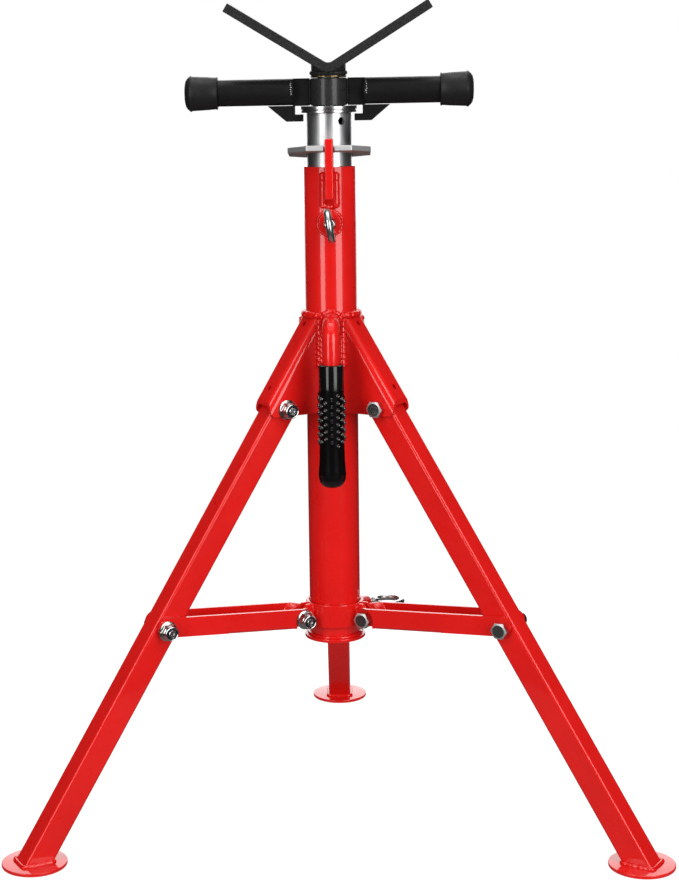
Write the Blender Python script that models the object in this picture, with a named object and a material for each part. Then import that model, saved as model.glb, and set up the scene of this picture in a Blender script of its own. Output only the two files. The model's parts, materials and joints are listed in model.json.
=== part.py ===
"""Pipe jack stand: a folding tripod with a telescoping mast, a jack nut with two handles and a V head.

Metres, +Z up. The floor is Z = 0, the V opens along X and the front of the stand faces -Y.
The stand stands on the middle of its own footprint, so the mast is a little in front of the origin.
"""

import math

import bmesh
import bpy
from mathutils import Matrix, Vector

# Running gap between solids that touch or slide
GAP = 0.0003
# How far a cutter runs past the surface that it cuts
OVERRUN = 0.002

# Outer tube, the fixed column
TUBE_DIAMETER = 0.0483
TUBE_WALL = 0.0032
TUBE_ABOVE_PIVOT = 0.2204
STOP_DISC_DIAMETER = 0.0582
STOP_DISC_THICKNESS = 0.0030
STOP_DISC_BELOW_PIVOT = 0.2253

# Mast, the inner tube that slides in the column
MAST_WALL = 0.0030
MAST_SHOWN = 0.0483
FLANGE_DIAMETER = 0.0526
FLANGE_THICKNESS = 0.0058
FLANGE_BORE_DIAMETER = 0.0290
MAST_HOLE_DIAMETER = 0.0070
MAST_HOLE_BELOW_TOP = 0.0075
MAST_HOLE_AZIMUTH = math.radians(-56)

# Lock plate, which tilts round the mast, and the post that holds its front
PLATE_THICKNESS = 0.0050
PLATE_HALF_WIDTH = 0.0378
PLATE_FRONT = 0.0375
PLATE_REAR = 0.0375
PLATE_CORNER_SHARE = 0.46
PLATE_ABOVE_TUBE = 0.0161
PLATE_TILT = math.radians(7)
POST_WIDTH = 0.0076
POST_FRONT = 0.0390
POST_WELDED_LENGTH = 0.0357
POST_ABOVE_PLATE = 0.0098
POST_SLOT_DEPTH = 0.0050
NOTCH_DEPTH = 0.0089
POST_SLOT_PLAY = 0.0020
NOTCH_PLAY = 0.0012

# Eye bolts that clamp the mast and the collar
EYE_WIRE_DIAMETER = 0.0062
EYE_RING_DIAMETER = 0.0325
EYE_SHANK_DIAMETER = 0.0100
EYE_SHOULDER_DIAMETER = 0.0150
EYE_SHOULDER_TIP_DIAMETER = 0.0120
UPPER_EYE_ROLL = math.radians(-9)
LOWER_EYE_ROLL = math.radians(90)
LOWER_EYE_AZIMUTH = math.radians(120)
UPPER_EYE_BELOW_TUBE_TOP = 0.0507
UPPER_BOSS_DIAMETER = 0.0215
UPPER_BOSS_LENGTH = 0.0100
UPPER_EYE_NECK = 0.0040
LOWER_EYE_NECK = 0.0060
LOWER_BOSS_DIAMETER = 0.0170
LOWER_BOSS_LENGTH = 0.0090

# Jack nut, its handles and the hooks that hold it on the mast's flange
NUT_DIAMETER = 0.0336
NUT_HEIGHT = 0.0248
HANDLE_TUBE_DIAMETER = 0.0242
HANDLE_TUBE_WALL = 0.0025
HANDLE_TUBE_END = 0.1270
HOOK_THICKNESS = 0.0060
HOOK_SHOULDER = 0.0324
HOOK_BOTTOM_LENGTH = 0.0390
HOOK_LENGTH = 0.0560
HOOK_LIP_INNER = 0.0233
HOOK_LIP_DEPTH = 0.0064
HOOK_PLAY = 0.0015
HOOK_RIM_PLAY = 0.0045
CAP_START = 0.1015
CAP_END = 0.1318
CAP_INNER_DIAMETER = 0.0291
CAP_OUTER_DIAMETER = 0.0331
CAP_ROUNDING = 0.0035

# Jack screw and V head
SCREW_DIAMETER = 0.0240
SCREW_LENGTH = 0.2950
SCREW_NECK_DIAMETER = 0.0320
SCREW_NECK_LENGTH = 0.0048
SCREW_POINT = 0.0024
V_THICKNESS = 0.0084
V_WIDTH = 0.0500
V_SLOPE = math.radians(31.5)
V_BEND_RADIUS = 0.0070
V_HALF_SPAN = 0.0898

# Legs, on three sides of the column
LEG_AZIMUTHS = {"left": -150, "right": -30, "rear": 90}
LEG_SIZE = 0.0240
LEG_WALL = 0.0020
LEG_CORNER = 0.0028
LEG_TILT = math.radians(33.43)
LEG_PIVOT_RADIUS = 0.0563
LEG_PIVOT_HEIGHT = 0.3963
LEG_TOP_MARGIN = 0.0096
BRACE_DISTANCE = 0.2309
FOOT_DIAMETER = 0.0600
FOOT_THICKNESS = 0.0032

# Leg brackets, channels welded to the column
BRACKET_PLATE = 0.0028
BRACKET_PLAY = 0.0007
BRACKET_BACK = 0.0192
BRACKET_ABOVE_PIVOT = 0.0837
BRACKET_BELOW_PIVOT = 0.0063
BRACKET_PAST_PIVOT = 0.0172
BRACKET_CORNER = 0.0078
BRACKET_HOLE_DIAMETER = 0.0052
BRACKET_HOLE_SHARES = (0.10, 0.86)

# Collar that slides on the column and folds the legs
COLLAR_WALL = 0.0030
COLLAR_PLAY = 0.0005
COLLAR_ABOVE_STOP = 0.0112
COLLAR_HEIGHT = 0.0219
COLLAR_PIVOT_RADIUS = 0.0370
COLLAR_PIVOT_RISE = 0.0083
EAR_WIDTH = 0.0112
EAR_PLATE = 0.0029
EAR_RADIUS = 0.0080
EAR_SHOULDER = 0.0340

# Braces between the collar and the legs
BRACE_SHEET = 0.0026
BRACE_DROP = 0.0070
BRACE_RISE = 0.0120
BRACE_PLAY = 0.0008
BRACE_DIMPLE_PLAY = 0.0018
BRACE_DIMPLE_WALL = 0.0034
BRACE_DIMPLE_END = 0.0090
BRACE_GRID_SHARES = (0.06, 0.45, 0.7, 0.85, 1)
BRACE_WEB_START = 0.0150
BRACE_WEB_CUT = 0.0620

# Fasteners
BOLT_DIAMETER = 0.0095
HEX_ACROSS_FLATS = 0.0143
HEX_CHAMFER = 0.0009
HEAD_HEIGHT = 0.0060
NUT_HEX_HEIGHT = 0.0064
NUT_COLLAR_HEIGHT = 0.0025
NUT_COLLAR_DIAMETER = 0.0132
NUT_FLANGE_DIAMETER = 0.0184
NUT_FLANGE_THICKNESS = 0.0013
BOLT_PROTRUSION = 0.0008
BOLT_HOLE_PLAY = 0.0004

# Carry handle
HANDLE_ROD_DIAMETER = 0.0161
HANDLE_REACH = 0.0600
HANDLE_ABOVE_BRACKET = 0.0040
HANDLE_BEND_RADIUS = 0.0170
GRIP_BELOW_HANDLE_TOP = 0.0429
GRIP_LENGTH = 0.1142
GRIP_DIAMETER = 0.0228
GRIP_END_DIAMETER = 0.0258
GRIP_END_WALL = 0.0040

# Facets round each kind of round piece
TUBE_FACETS = 36
SMALL_FACETS = 20
BOLT_FACETS = 12
RING_FACETS = 24
WIRE_FACETS = 8

# Heights, all counted from the legs' pivots
TUBE_TOP = LEG_PIVOT_HEIGHT + TUBE_ABOVE_PIVOT
STOP_DISC_TOP = LEG_PIVOT_HEIGHT - STOP_DISC_BELOW_PIVOT
MAST_TOP = TUBE_TOP + MAST_SHOWN
MAST_HOLE_HEIGHT = MAST_TOP - MAST_HOLE_BELOW_TOP
PLATE_HEIGHT = TUBE_TOP + PLATE_ABOVE_TUBE
POST_BOTTOM = TUBE_TOP - POST_WELDED_LENGTH
POST_TOP = PLATE_HEIGHT + POST_ABOVE_PLATE
UPPER_EYE_HEIGHT = TUBE_TOP - UPPER_EYE_BELOW_TUBE_TOP
BRACKET_TOP = LEG_PIVOT_HEIGHT + BRACKET_ABOVE_PIVOT
BRACKET_BOTTOM = LEG_PIVOT_HEIGHT - BRACKET_BELOW_PIVOT
BRACKET_LENGTH = LEG_PIVOT_RADIUS + BRACKET_PAST_PIVOT
HANDLE_TOP = BRACKET_TOP + HANDLE_ABOVE_BRACKET
GRIP_TOP = HANDLE_TOP - GRIP_BELOW_HANDLE_TOP
GRIP_BOTTOM = GRIP_TOP - GRIP_LENGTH
COLLAR_BOTTOM = STOP_DISC_TOP + COLLAR_ABOVE_STOP
COLLAR_TOP = COLLAR_BOTTOM + COLLAR_HEIGHT
COLLAR_PIVOT_HEIGHT = COLLAR_BOTTOM + COLLAR_PIVOT_RISE

TUBE_RADIUS = TUBE_DIAMETER / 2
TUBE_BORE_RADIUS = TUBE_RADIUS - TUBE_WALL
MAST_RADIUS = TUBE_BORE_RADIUS - GAP
TUBE_BOTTOM = STOP_DISC_TOP + GAP
MAST_BOTTOM = TUBE_BOTTOM + GAP
BRACKET_INSIDE = LEG_SIZE / 2 + BRACKET_PLAY
BRACKET_OUTSIDE = BRACKET_INSIDE + BRACKET_PLATE
BRACE_INSIDE = LEG_SIZE / 2 + BRACE_PLAY
BRACE_OUTSIDE = BRACE_INSIDE + BRACE_SHEET
PINCH_OUTSIDE = EAR_WIDTH / 2 + GAP + BRACE_SHEET
DIMPLE_FLAT = NUT_FLANGE_DIAMETER / 2 + BRACE_DIMPLE_PLAY
BOLT_HOLE_RADIUS = BOLT_DIAMETER / 2 + BOLT_HOLE_PLAY
LEG_DIRECTION = Vector((math.sin(LEG_TILT), -math.cos(LEG_TILT)))
LEG_OUTWARD = Vector((math.cos(LEG_TILT), math.sin(LEG_TILT)))
LEG_PIVOT = Vector((LEG_PIVOT_RADIUS, LEG_PIVOT_HEIGHT))
COLLAR_PIVOT = Vector((COLLAR_PIVOT_RADIUS, COLLAR_PIVOT_HEIGHT))
BRACE_PIN = LEG_PIVOT + LEG_DIRECTION * BRACE_DISTANCE
BRACE_SPAN = (BRACE_PIN - COLLAR_PIVOT).length
BRACE_SLOPE = math.atan2(BRACE_PIN.y - COLLAR_PIVOT.y, BRACE_PIN.x - COLLAR_PIVOT.x)
FOOT_RADIUS = (
    LEG_PIVOT_RADIUS + (LEG_PIVOT_HEIGHT - FOOT_THICKNESS) * math.tan(LEG_TILT)
)
NUT_BOTTOM = MAST_TOP + FLANGE_THICKNESS + 2 * GAP
NUT_TOP = NUT_BOTTOM + NUT_HEIGHT
V_VALLEY = NUT_TOP + GAP + SCREW_NECK_LENGTH + GAP + V_THICKNESS
HANDLE_HEIGHT = NUT_TOP - HANDLE_TUBE_DIAMETER / 2


def clear_scene():
    for obj in list(bpy.data.objects):
        bpy.data.objects.remove(obj)


def material(name, colour, roughness, metallic=0.0):
    made = bpy.data.materials.new(name)
    made.use_nodes = True
    made.diffuse_color = (*colour, 1.0)
    shader = made.node_tree.nodes["Principled BSDF"]
    shader.inputs["Base Color"].default_value = (*colour, 1.0)
    shader.inputs["Roughness"].default_value = roughness
    shader.inputs["Metallic"].default_value = metallic
    return made


def empty(name, parent=None, location=(0, 0, 0), rotation=(0, 0, 0)):
    made = bpy.data.objects.new(name, None)
    bpy.context.scene.collection.objects.link(made)
    made.parent = parent
    made.location = location
    made.rotation_euler = rotation
    return made


def place(name, mesh, finish, parent, location=(0, 0, 0), rotation=(0, 0, 0)):
    """An object of this mesh under its parent, smooth where faces meet at a small angle."""
    made = bpy.data.objects.new(name, mesh)
    bpy.context.scene.collection.objects.link(made)
    made.parent = parent
    made.location = location
    made.rotation_euler = rotation
    if not mesh.materials:
        mesh.materials.append(finish)
    mesh.shade_smooth()
    mesh.set_sharp_from_angle(angle=math.radians(35))
    return made


def mesh_of(shape, name="shape"):
    """The bmesh as a mesh, with its faces turned outwards."""
    bmesh.ops.recalc_face_normals(shape, faces=shape.faces)
    made = bpy.data.meshes.new(name)
    shape.to_mesh(made)
    shape.free()
    return made


def turned(profile, facets, turn_share=0.5):
    """A closed (radius, height) outline turned round Z. A radius of zero makes one point on the axis."""
    shape = bmesh.new()
    rings = []
    for radius, height in profile:
        if radius == 0:
            rings.append([shape.verts.new((0, 0, height))])
            continue
        angles = [2 * math.pi * (i + turn_share) / facets for i in range(facets)]
        rings.append(
            [shape.verts.new((radius * math.cos(a), radius * math.sin(a), height)) for a in angles]
        )
    for lower, upper in zip(rings, rings[1:] + rings[:1]):
        for i in range(facets):
            corners = [
                lower[i % len(lower)],
                lower[(i + 1) % len(lower)],
                upper[(i + 1) % len(upper)],
                upper[i % len(upper)],
            ]
            corners = list(dict.fromkeys(corners))
            if len(corners) > 2:
                shape.faces.new(corners)
    return mesh_of(shape)


def pipe(outer, inner, bottom, top, facets):
    return turned([(inner, bottom), (outer, bottom), (outer, top), (inner, top)], facets)


def rod(radius, bottom, top, facets):
    return turned([(0, bottom), (radius, bottom), (radius, top), (0, top)], facets)


def plate(outline, low, high):
    """A plate with this (x, z) outline, from y = low to y = high."""
    shape = bmesh.new()
    near = [shape.verts.new((x, low, z)) for x, z in outline]
    far = [shape.verts.new((x, high, z)) for x, z in outline]
    shape.faces.new(near)
    shape.faces.new(far[::-1])
    for i in range(len(outline)):
        following = (i + 1) % len(outline)
        shape.faces.new((near[i], far[i], far[following], near[following]))
    return mesh_of(shape)


def arc(centre, radius, start, end, steps):
    """Points on a circle about centre, from one angle to another in degrees."""
    angles = [math.radians(start + (end - start) * i / steps) for i in range(steps + 1)]
    return [(centre[0] + radius * math.cos(a), centre[1] + radius * math.sin(a)) for a in angles]


def swept(route, rings):
    """A solid through rings of points, one ring for each place on the route, closed at both ends."""
    shape = bmesh.new()
    loops = []
    for place_on_route, ring in zip(route, rings):
        loops.append([shape.verts.new(place_on_route @ Vector(point)) for point in ring])
    for first, second in zip(loops, loops[1:]):
        for i in range(len(first)):
            following = (i + 1) % len(first)
            shape.faces.new((first[i], first[following], second[following], second[i]))
    shape.faces.new(loops[0])
    shape.faces.new(loops[-1])
    return mesh_of(shape)


def cutter(name, mesh, parent, location=(0, 0, 0), rotation=(0, 0, 0)):
    made = bpy.data.objects.new(name, mesh)
    bpy.context.scene.collection.objects.link(made)
    made.parent = parent
    made.location = location
    made.rotation_euler = rotation
    made.hide_render = True
    made.display_type = "WIRE"
    return made


def combine(obj, tool, operation):
    made = obj.modifiers.new(operation.title(), "BOOLEAN")
    made.operation = operation
    made.solver = "EXACT"
    made.object = tool


def cut(obj, tool):
    combine(obj, tool, "DIFFERENCE")


def across(radius, half_length, facets=SMALL_FACETS):
    """A rod along Y, centred on the origin."""
    made = rod(radius, -half_length, half_length, facets)
    made.transform(Matrix.Rotation(math.radians(90), 4, "X"))
    return made


def hex_ring(height, chamfer):
    """Twelve points round a hexagon: its corners, lowered by the chamfer, and the middles of its sides."""
    flat = HEX_ACROSS_FLATS / 2
    corner = flat / math.cos(math.radians(30))
    ring = []
    for i in range(BOLT_FACETS):
        angle = 2 * math.pi * i / BOLT_FACETS
        radius, drop = (corner, chamfer) if i % 2 == 0 else (flat, 0)
        ring.append((radius * math.cos(angle), radius * math.sin(angle), height - drop))
    return ring


def round_ring(radius, height):
    angles = [2 * math.pi * i / BOLT_FACETS for i in range(BOLT_FACETS)]
    return [(radius * math.cos(a), radius * math.sin(a), height) for a in angles]


def stacked(rings, closed):
    """A solid through rings of points: a tube through all of them when closed, otherwise capped at each end."""
    shape = bmesh.new()
    loops = [[shape.verts.new(point) for point in ring] for ring in rings]
    pairs = list(zip(loops, loops[1:] + loops[:1])) if closed else list(zip(loops, loops[1:]))
    for first, second in pairs:
        for i in range(BOLT_FACETS):
            following = (i + 1) % BOLT_FACETS
            shape.faces.new((first[i], first[following], second[following], second[i]))
    if not closed:
        shape.faces.new(loops[0])
        shape.faces.new(loops[-1])
    made = mesh_of(shape)
    # Local Z becomes -Y, so the piece points away from its head along +Y
    made.transform(Matrix.Rotation(math.radians(-90), 4, "X"))
    return made


def bolt_mesh(head_face, end):
    """A hex bolt along +Y: the underside of its head is at y = head_face and its point at y = end."""
    shank = BOLT_DIAMETER / 2
    return stacked(
        [
            round_ring(HEX_ACROSS_FLATS / 2 - HEX_CHAMFER, head_face - HEAD_HEIGHT),
            [(x, y, 2 * (head_face - HEAD_HEIGHT) - z) for x, y, z in hex_ring(
                head_face - HEAD_HEIGHT, HEX_CHAMFER)],
            hex_ring(head_face, 0),
            round_ring(shank, head_face),
            round_ring(shank, end - HEX_CHAMFER),
            round_ring(shank - HEX_CHAMFER, end),
        ],
        closed=False,
    )


def nut_rings(face):
    hex_top = face + NUT_FLANGE_THICKNESS + NUT_HEX_HEIGHT
    return [
        round_ring(NUT_FLANGE_DIAMETER / 2, face),
        round_ring(NUT_FLANGE_DIAMETER / 2, face + NUT_FLANGE_THICKNESS),
        hex_ring(face + NUT_FLANGE_THICKNESS, 0),
        hex_ring(hex_top, HEX_CHAMFER),
        round_ring(NUT_COLLAR_DIAMETER / 2, hex_top),
        round_ring(NUT_COLLAR_DIAMETER / 2 - HEX_CHAMFER, hex_top + NUT_COLLAR_HEIGHT),
    ]


def nut_mesh(face):
    """A flanged lock nut whose seat is at y = face, with a clear bore for its bolt."""
    bore = BOLT_DIAMETER / 2 + GAP
    rings = nut_rings(face)
    top = rings[-1][0][2]
    return stacked([round_ring(bore, face), *rings, round_ring(bore, top)], closed=True)


def nut_with_end_mesh(face, stub_start):
    """The same nut together with the end of its bolt, which starts at y = stub_start."""
    shank = BOLT_DIAMETER / 2
    rings = nut_rings(face)
    top = rings[-1][0][2]
    return stacked(
        [
            round_ring(shank, stub_start),
            round_ring(shank, face),
            *rings,
            round_ring(shank, top),
            round_ring(shank - HEX_CHAMFER, top + BOLT_PROTRUSION),
        ],
        closed=False,
    )


NUT_TOTAL = NUT_FLANGE_THICKNESS + NUT_HEX_HEIGHT + NUT_COLLAR_HEIGHT

clear_scene()

red_paint = material("red_paint", (0.72, 0.012, 0.012), 0.28)
black_paint = material("black_paint", (0.018, 0.018, 0.020), 0.42)
zinc = material("zinc", (0.72, 0.73, 0.74), 0.28, 1.0)
bolt_zinc = material("bolt_zinc", (0.78, 0.78, 0.76), 0.24, 1.0)
rubber = material("rubber", (0.015, 0.015, 0.016), 0.6)
grip_rubber = material("grip_rubber", (0.010, 0.010, 0.011), 0.35)
screw_steel = material("screw_steel", (0.45, 0.42, 0.36), 0.4, 1.0)

# The mast's axis stands in front of the footprint's middle, because only the rear foot reaches back
stand = empty("stand_axis", location=(0, -FOOT_RADIUS / 4, 0))

# Column: outer tube and the stop disc under it
tube_mesh = pipe(TUBE_RADIUS, TUBE_BORE_RADIUS, TUBE_BOTTOM, TUBE_TOP, TUBE_FACETS)
outer_tube = place("outer_tube", tube_mesh, red_paint, stand)
eye_hole_radius = EYE_SHANK_DIAMETER / 2 + GAP * 2
eye_hole = across(eye_hole_radius, TUBE_WALL + OVERRUN)
cut(outer_tube, cutter("eye_hole_cutter", eye_hole, stand, (0, -TUBE_RADIUS, UPPER_EYE_HEIGHT)))
disc_mesh = rod(STOP_DISC_DIAMETER / 2, STOP_DISC_TOP - STOP_DISC_THICKNESS, STOP_DISC_TOP, TUBE_FACETS)
place("stop_disc", disc_mesh, red_paint, stand)

# Post that stands on the front of the column and holds the lock plate's front edge
notch_edge = PLATE_FRONT - NOTCH_DEPTH
slot_half = PLATE_THICKNESS / 2 + POST_SLOT_PLAY
post_back = TUBE_RADIUS + GAP
post_outline = [
    (post_back, POST_BOTTOM),
    (POST_FRONT, POST_BOTTOM + POST_WIDTH),
    (POST_FRONT, POST_TOP),
    (post_back, POST_TOP),
    (post_back, PLATE_HEIGHT + slot_half),
    (post_back + POST_SLOT_DEPTH, PLATE_HEIGHT + slot_half),
    (post_back + POST_SLOT_DEPTH, PLATE_HEIGHT - slot_half),
    (post_back, PLATE_HEIGHT - slot_half),
]
post_mesh = plate(post_outline, -POST_WIDTH / 2, POST_WIDTH / 2)
place("lock_post", post_mesh, red_paint, stand, rotation=(0, 0, math.radians(-90)))

# Mast: inner tube, and the flange on its top that carries the jack nut
mast = empty("mast_axis", stand)
mast_mesh = pipe(MAST_RADIUS, MAST_RADIUS - MAST_WALL, MAST_BOTTOM, MAST_TOP, TUBE_FACETS)
inner_tube = place("inner_tube", mast_mesh, zinc, mast)
pin_hole = across(MAST_HOLE_DIAMETER / 2, MAST_WALL + OVERRUN, BOLT_FACETS)
hole_place = (
    MAST_RADIUS * math.cos(MAST_HOLE_AZIMUTH),
    MAST_RADIUS * math.sin(MAST_HOLE_AZIMUTH),
    MAST_HOLE_HEIGHT,
)
cut(inner_tube, cutter("mast_hole_cutter", pin_hole, mast, hole_place,
                       (0, 0, MAST_HOLE_AZIMUTH + math.radians(90))))
flange_bottom = MAST_TOP + GAP
flange_mesh = pipe(FLANGE_DIAMETER / 2, FLANGE_BORE_DIAMETER / 2, flange_bottom,
                   flange_bottom + FLANGE_THICKNESS, TUBE_FACETS)
place("mast_flange", flange_mesh, zinc, mast)

# Lock plate, tilted round the post's slot
plate_pivot_y = -(notch_edge - POST_SLOT_DEPTH / 2)
plate_tilt = empty("lock_plate_pivot", stand, (0, plate_pivot_y, PLATE_HEIGHT), (-PLATE_TILT, 0, 0))
corner_y = PLATE_FRONT * (1 - PLATE_CORNER_SHARE)
corner_x = PLATE_HALF_WIDTH * (1 - PLATE_CORNER_SHARE)
notch_half = POST_WIDTH / 2 + NOTCH_PLAY
plate_outline = [
    (-notch_half, -PLATE_FRONT),
    (-notch_half, -notch_edge),
    (notch_half, -notch_edge),
    (notch_half, -PLATE_FRONT),
    (corner_x, -PLATE_FRONT),
    (PLATE_HALF_WIDTH, -corner_y),
    (PLATE_HALF_WIDTH, corner_y),
    (corner_x, PLATE_REAR),
    (-corner_x, PLATE_REAR),
    (-PLATE_HALF_WIDTH, corner_y),
    (-PLATE_HALF_WIDTH, -corner_y),
    (-corner_x, -PLATE_FRONT),
]
plate_mesh = plate(plate_outline, -PLATE_THICKNESS / 2, PLATE_THICKNESS / 2)
# The outline's second coordinate becomes Y
plate_mesh.transform(Matrix.Rotation(math.radians(-90), 4, "X"))
lock_plate = place("lock_plate", plate_mesh, zinc, plate_tilt, (0, -plate_pivot_y, 0))
tilt_allowance = PLATE_THICKNESS / 2 * math.tan(PLATE_TILT)
pivot_shift = -plate_pivot_y * (1 - math.cos(PLATE_TILT))
plate_bore = (MAST_RADIUS + GAP) / math.cos(PLATE_TILT) + tilt_allowance + pivot_shift
bore_mesh = rod(plate_bore, -PLATE_THICKNESS, PLATE_THICKNESS, TUBE_FACETS)
cut(lock_plate, cutter("lock_plate_bore_cutter", bore_mesh, plate_tilt, (0, -plate_pivot_y, 0)))

# Clamp boss on the column and eye bolts
ring_radius = (EYE_RING_DIAMETER - EYE_WIRE_DIAMETER) / 2


def eye_bolt_mesh(tip, neck_end):
    """A turned shank along -Y, its tip at y = -tip, with the shoulder that carries the ring."""
    made = turned(
        [
            (0, tip),
            (EYE_SHANK_DIAMETER / 2, tip),
            (EYE_SHANK_DIAMETER / 2, neck_end),
            (EYE_SHOULDER_DIAMETER / 2, neck_end),
            (EYE_SHOULDER_TIP_DIAMETER / 2, neck_end + EYE_WIRE_DIAMETER),
            (0, neck_end + EYE_WIRE_DIAMETER),
        ],
        SMALL_FACETS,
    )
    made.transform(Matrix.Rotation(math.radians(90), 4, "X"))
    return made


def ring_mesh():
    """The eye: a round wire bent into a ring, in the plane of Y and Z."""
    shape = bmesh.new()
    loops = []
    for i in range(RING_FACETS):
        turn = Matrix.Rotation(2 * math.pi * i / RING_FACETS, 3, "X")
        loop = []
        for j in range(WIRE_FACETS):
            angle = 2 * math.pi * j / WIRE_FACETS
            wire = EYE_WIRE_DIAMETER / 2
            point = Vector((wire * math.sin(angle), 0, ring_radius + wire * math.cos(angle)))
            loop.append(shape.verts.new(turn @ point))
        loops.append(loop)
    for first, second in zip(loops, loops[1:] + loops[:1]):
        for j in range(WIRE_FACETS):
            following = (j + 1) % WIRE_FACETS
            shape.faces.new((first[j], first[following], second[following], second[j]))
    return mesh_of(shape)


def clamp(side, parent, height, boss_diameter, boss_start, boss_length, tip, neck, azimuth, roll):
    """A boss and the eye bolt that runs through it, along -Y of an empty turned to the azimuth."""
    axis = empty(side + "_clamp_axis", parent, (0, 0, height), (0, 0, azimuth))
    boss = pipe(boss_diameter / 2, eye_hole_radius, boss_start, boss_start + boss_length, SMALL_FACETS)
    boss.transform(Matrix.Rotation(math.radians(90), 4, "X"))
    place(side + "_clamp_boss", boss, red_paint, axis)
    turning = empty(side + "_clamp_turn", axis, rotation=(0, roll, 0))
    neck_end = boss_start + boss_length + neck
    eye = place(side + "_eye_bolt", eye_bolt_mesh(tip, neck_end), bolt_zinc, turning)
    ring_y = -(neck_end + EYE_WIRE_DIAMETER / 2 + ring_radius)
    combine(eye, cutter(side + "_eye_ring_shape", ring_mesh(), turning, (0, ring_y, 0)), "UNION")


boss_start = TUBE_RADIUS + GAP
clamp("upper", stand, UPPER_EYE_HEIGHT, UPPER_BOSS_DIAMETER, boss_start, UPPER_BOSS_LENGTH,
      MAST_RADIUS + GAP, UPPER_EYE_NECK, 0, UPPER_EYE_ROLL)

# Jack nut with two hooks, two handle tubes and their caps
jack = empty("jack_nut_axis", mast)
screw_radius = SCREW_DIAMETER / 2
nut_mesh_round = pipe(NUT_DIAMETER / 2, screw_radius + GAP, NUT_BOTTOM, NUT_TOP, TUBE_FACETS)
place("jack_nut", nut_mesh_round, black_paint, jack)
hook_inner = NUT_DIAMETER / 2 + GAP
hook_notch = FLANGE_DIAMETER / 2 + HOOK_RIM_PLAY
lip_top = flange_bottom - HOOK_PLAY
tube_underside = HANDLE_HEIGHT - HANDLE_TUBE_DIAMETER / 2 - GAP
hook_outline = [
    (hook_inner, NUT_BOTTOM),
    (hook_notch, NUT_BOTTOM),
    (hook_notch, lip_top),
    (HOOK_LIP_INNER, lip_top),
    (HOOK_LIP_INNER, lip_top - HOOK_LIP_DEPTH),
    (HOOK_BOTTOM_LENGTH, lip_top - HOOK_LIP_DEPTH),
    (HOOK_LENGTH, tube_underside),
    (HOOK_SHOULDER, tube_underside),
    (HOOK_SHOULDER, NUT_TOP),
    (hook_inner, NUT_TOP),
]
cap_profile = [
    (HANDLE_TUBE_DIAMETER / 2 + GAP, CAP_START),
    (CAP_INNER_DIAMETER / 2, CAP_START),
    (CAP_OUTER_DIAMETER / 2, CAP_END - CAP_ROUNDING * 2),
    (CAP_OUTER_DIAMETER / 2 - CAP_ROUNDING / 3, CAP_END - CAP_ROUNDING),
    (CAP_OUTER_DIAMETER / 2 - CAP_ROUNDING * 2, CAP_END),
    (0, CAP_END),
    (0, HANDLE_TUBE_END + GAP),
    (HANDLE_TUBE_DIAMETER / 2 + GAP, HANDLE_TUBE_END + GAP),
]
for side, turn in (("right", 0), ("left", math.pi)):
    hook_mesh = plate(hook_outline, -HOOK_THICKNESS / 2, HOOK_THICKNESS / 2)
    place("hook_plate_" + side, hook_mesh, black_paint, jack, rotation=(0, 0, turn))
    along_x = (0, math.radians(90), turn)
    bar_mesh = pipe(HANDLE_TUBE_DIAMETER / 2, HANDLE_TUBE_DIAMETER / 2 - HANDLE_TUBE_WALL,
                    HOOK_SHOULDER + GAP, HANDLE_TUBE_END, SMALL_FACETS)
    place("handle_tube_" + side, bar_mesh, black_paint, jack, (0, 0, HANDLE_HEIGHT), along_x)
    place("handle_cap_" + side, turned(cap_profile, SMALL_FACETS), rubber, jack,
          (0, 0, HANDLE_HEIGHT), along_x)

# Head: V plate, and the screw that carries it through the nut
head = empty("head_axis", mast)
centre_height = V_VALLEY + V_BEND_RADIUS
slope_degrees = math.degrees(V_SLOPE)
bend_steps = 6
run = V_HALF_SPAN - V_BEND_RADIUS * math.sin(V_SLOPE)
rise = run * math.tan(V_SLOPE)
tip_height = centre_height - V_BEND_RADIUS * math.cos(V_SLOPE) + rise
outer_shift = V_THICKNESS * math.sin(V_SLOPE)
outer_drop = V_THICKNESS * math.cos(V_SLOPE)
inner_arc = arc((0, centre_height), V_BEND_RADIUS, -90 - slope_degrees, -90 + slope_degrees, bend_steps)
outer_arc = arc((0, centre_height), V_BEND_RADIUS + V_THICKNESS, -90 + slope_degrees,
                -90 - slope_degrees, bend_steps)
v_outline = [
    (-V_HALF_SPAN, tip_height),
    *inner_arc,
    (V_HALF_SPAN, tip_height),
    (V_HALF_SPAN + outer_shift, tip_height - outer_drop),
    *outer_arc,
    (-V_HALF_SPAN - outer_shift, tip_height - outer_drop),
]
place("v_head", plate(v_outline, -V_WIDTH / 2, V_WIDTH / 2), black_paint, head)
neck_bottom = NUT_TOP + GAP
neck_top = V_VALLEY - V_THICKNESS - GAP
screw_mesh = turned(
    [
        (0, neck_top - SCREW_LENGTH),
        (screw_radius - SCREW_POINT, neck_top - SCREW_LENGTH),
        (screw_radius, neck_top - SCREW_LENGTH + SCREW_POINT),
        (screw_radius, neck_bottom),
        (SCREW_NECK_DIAMETER / 2, neck_bottom),
        (SCREW_NECK_DIAMETER / 2, neck_top),
        (0, neck_top),
    ],
    TUBE_FACETS,
)
place("jack_screw", screw_mesh, screw_steel, head)

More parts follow.
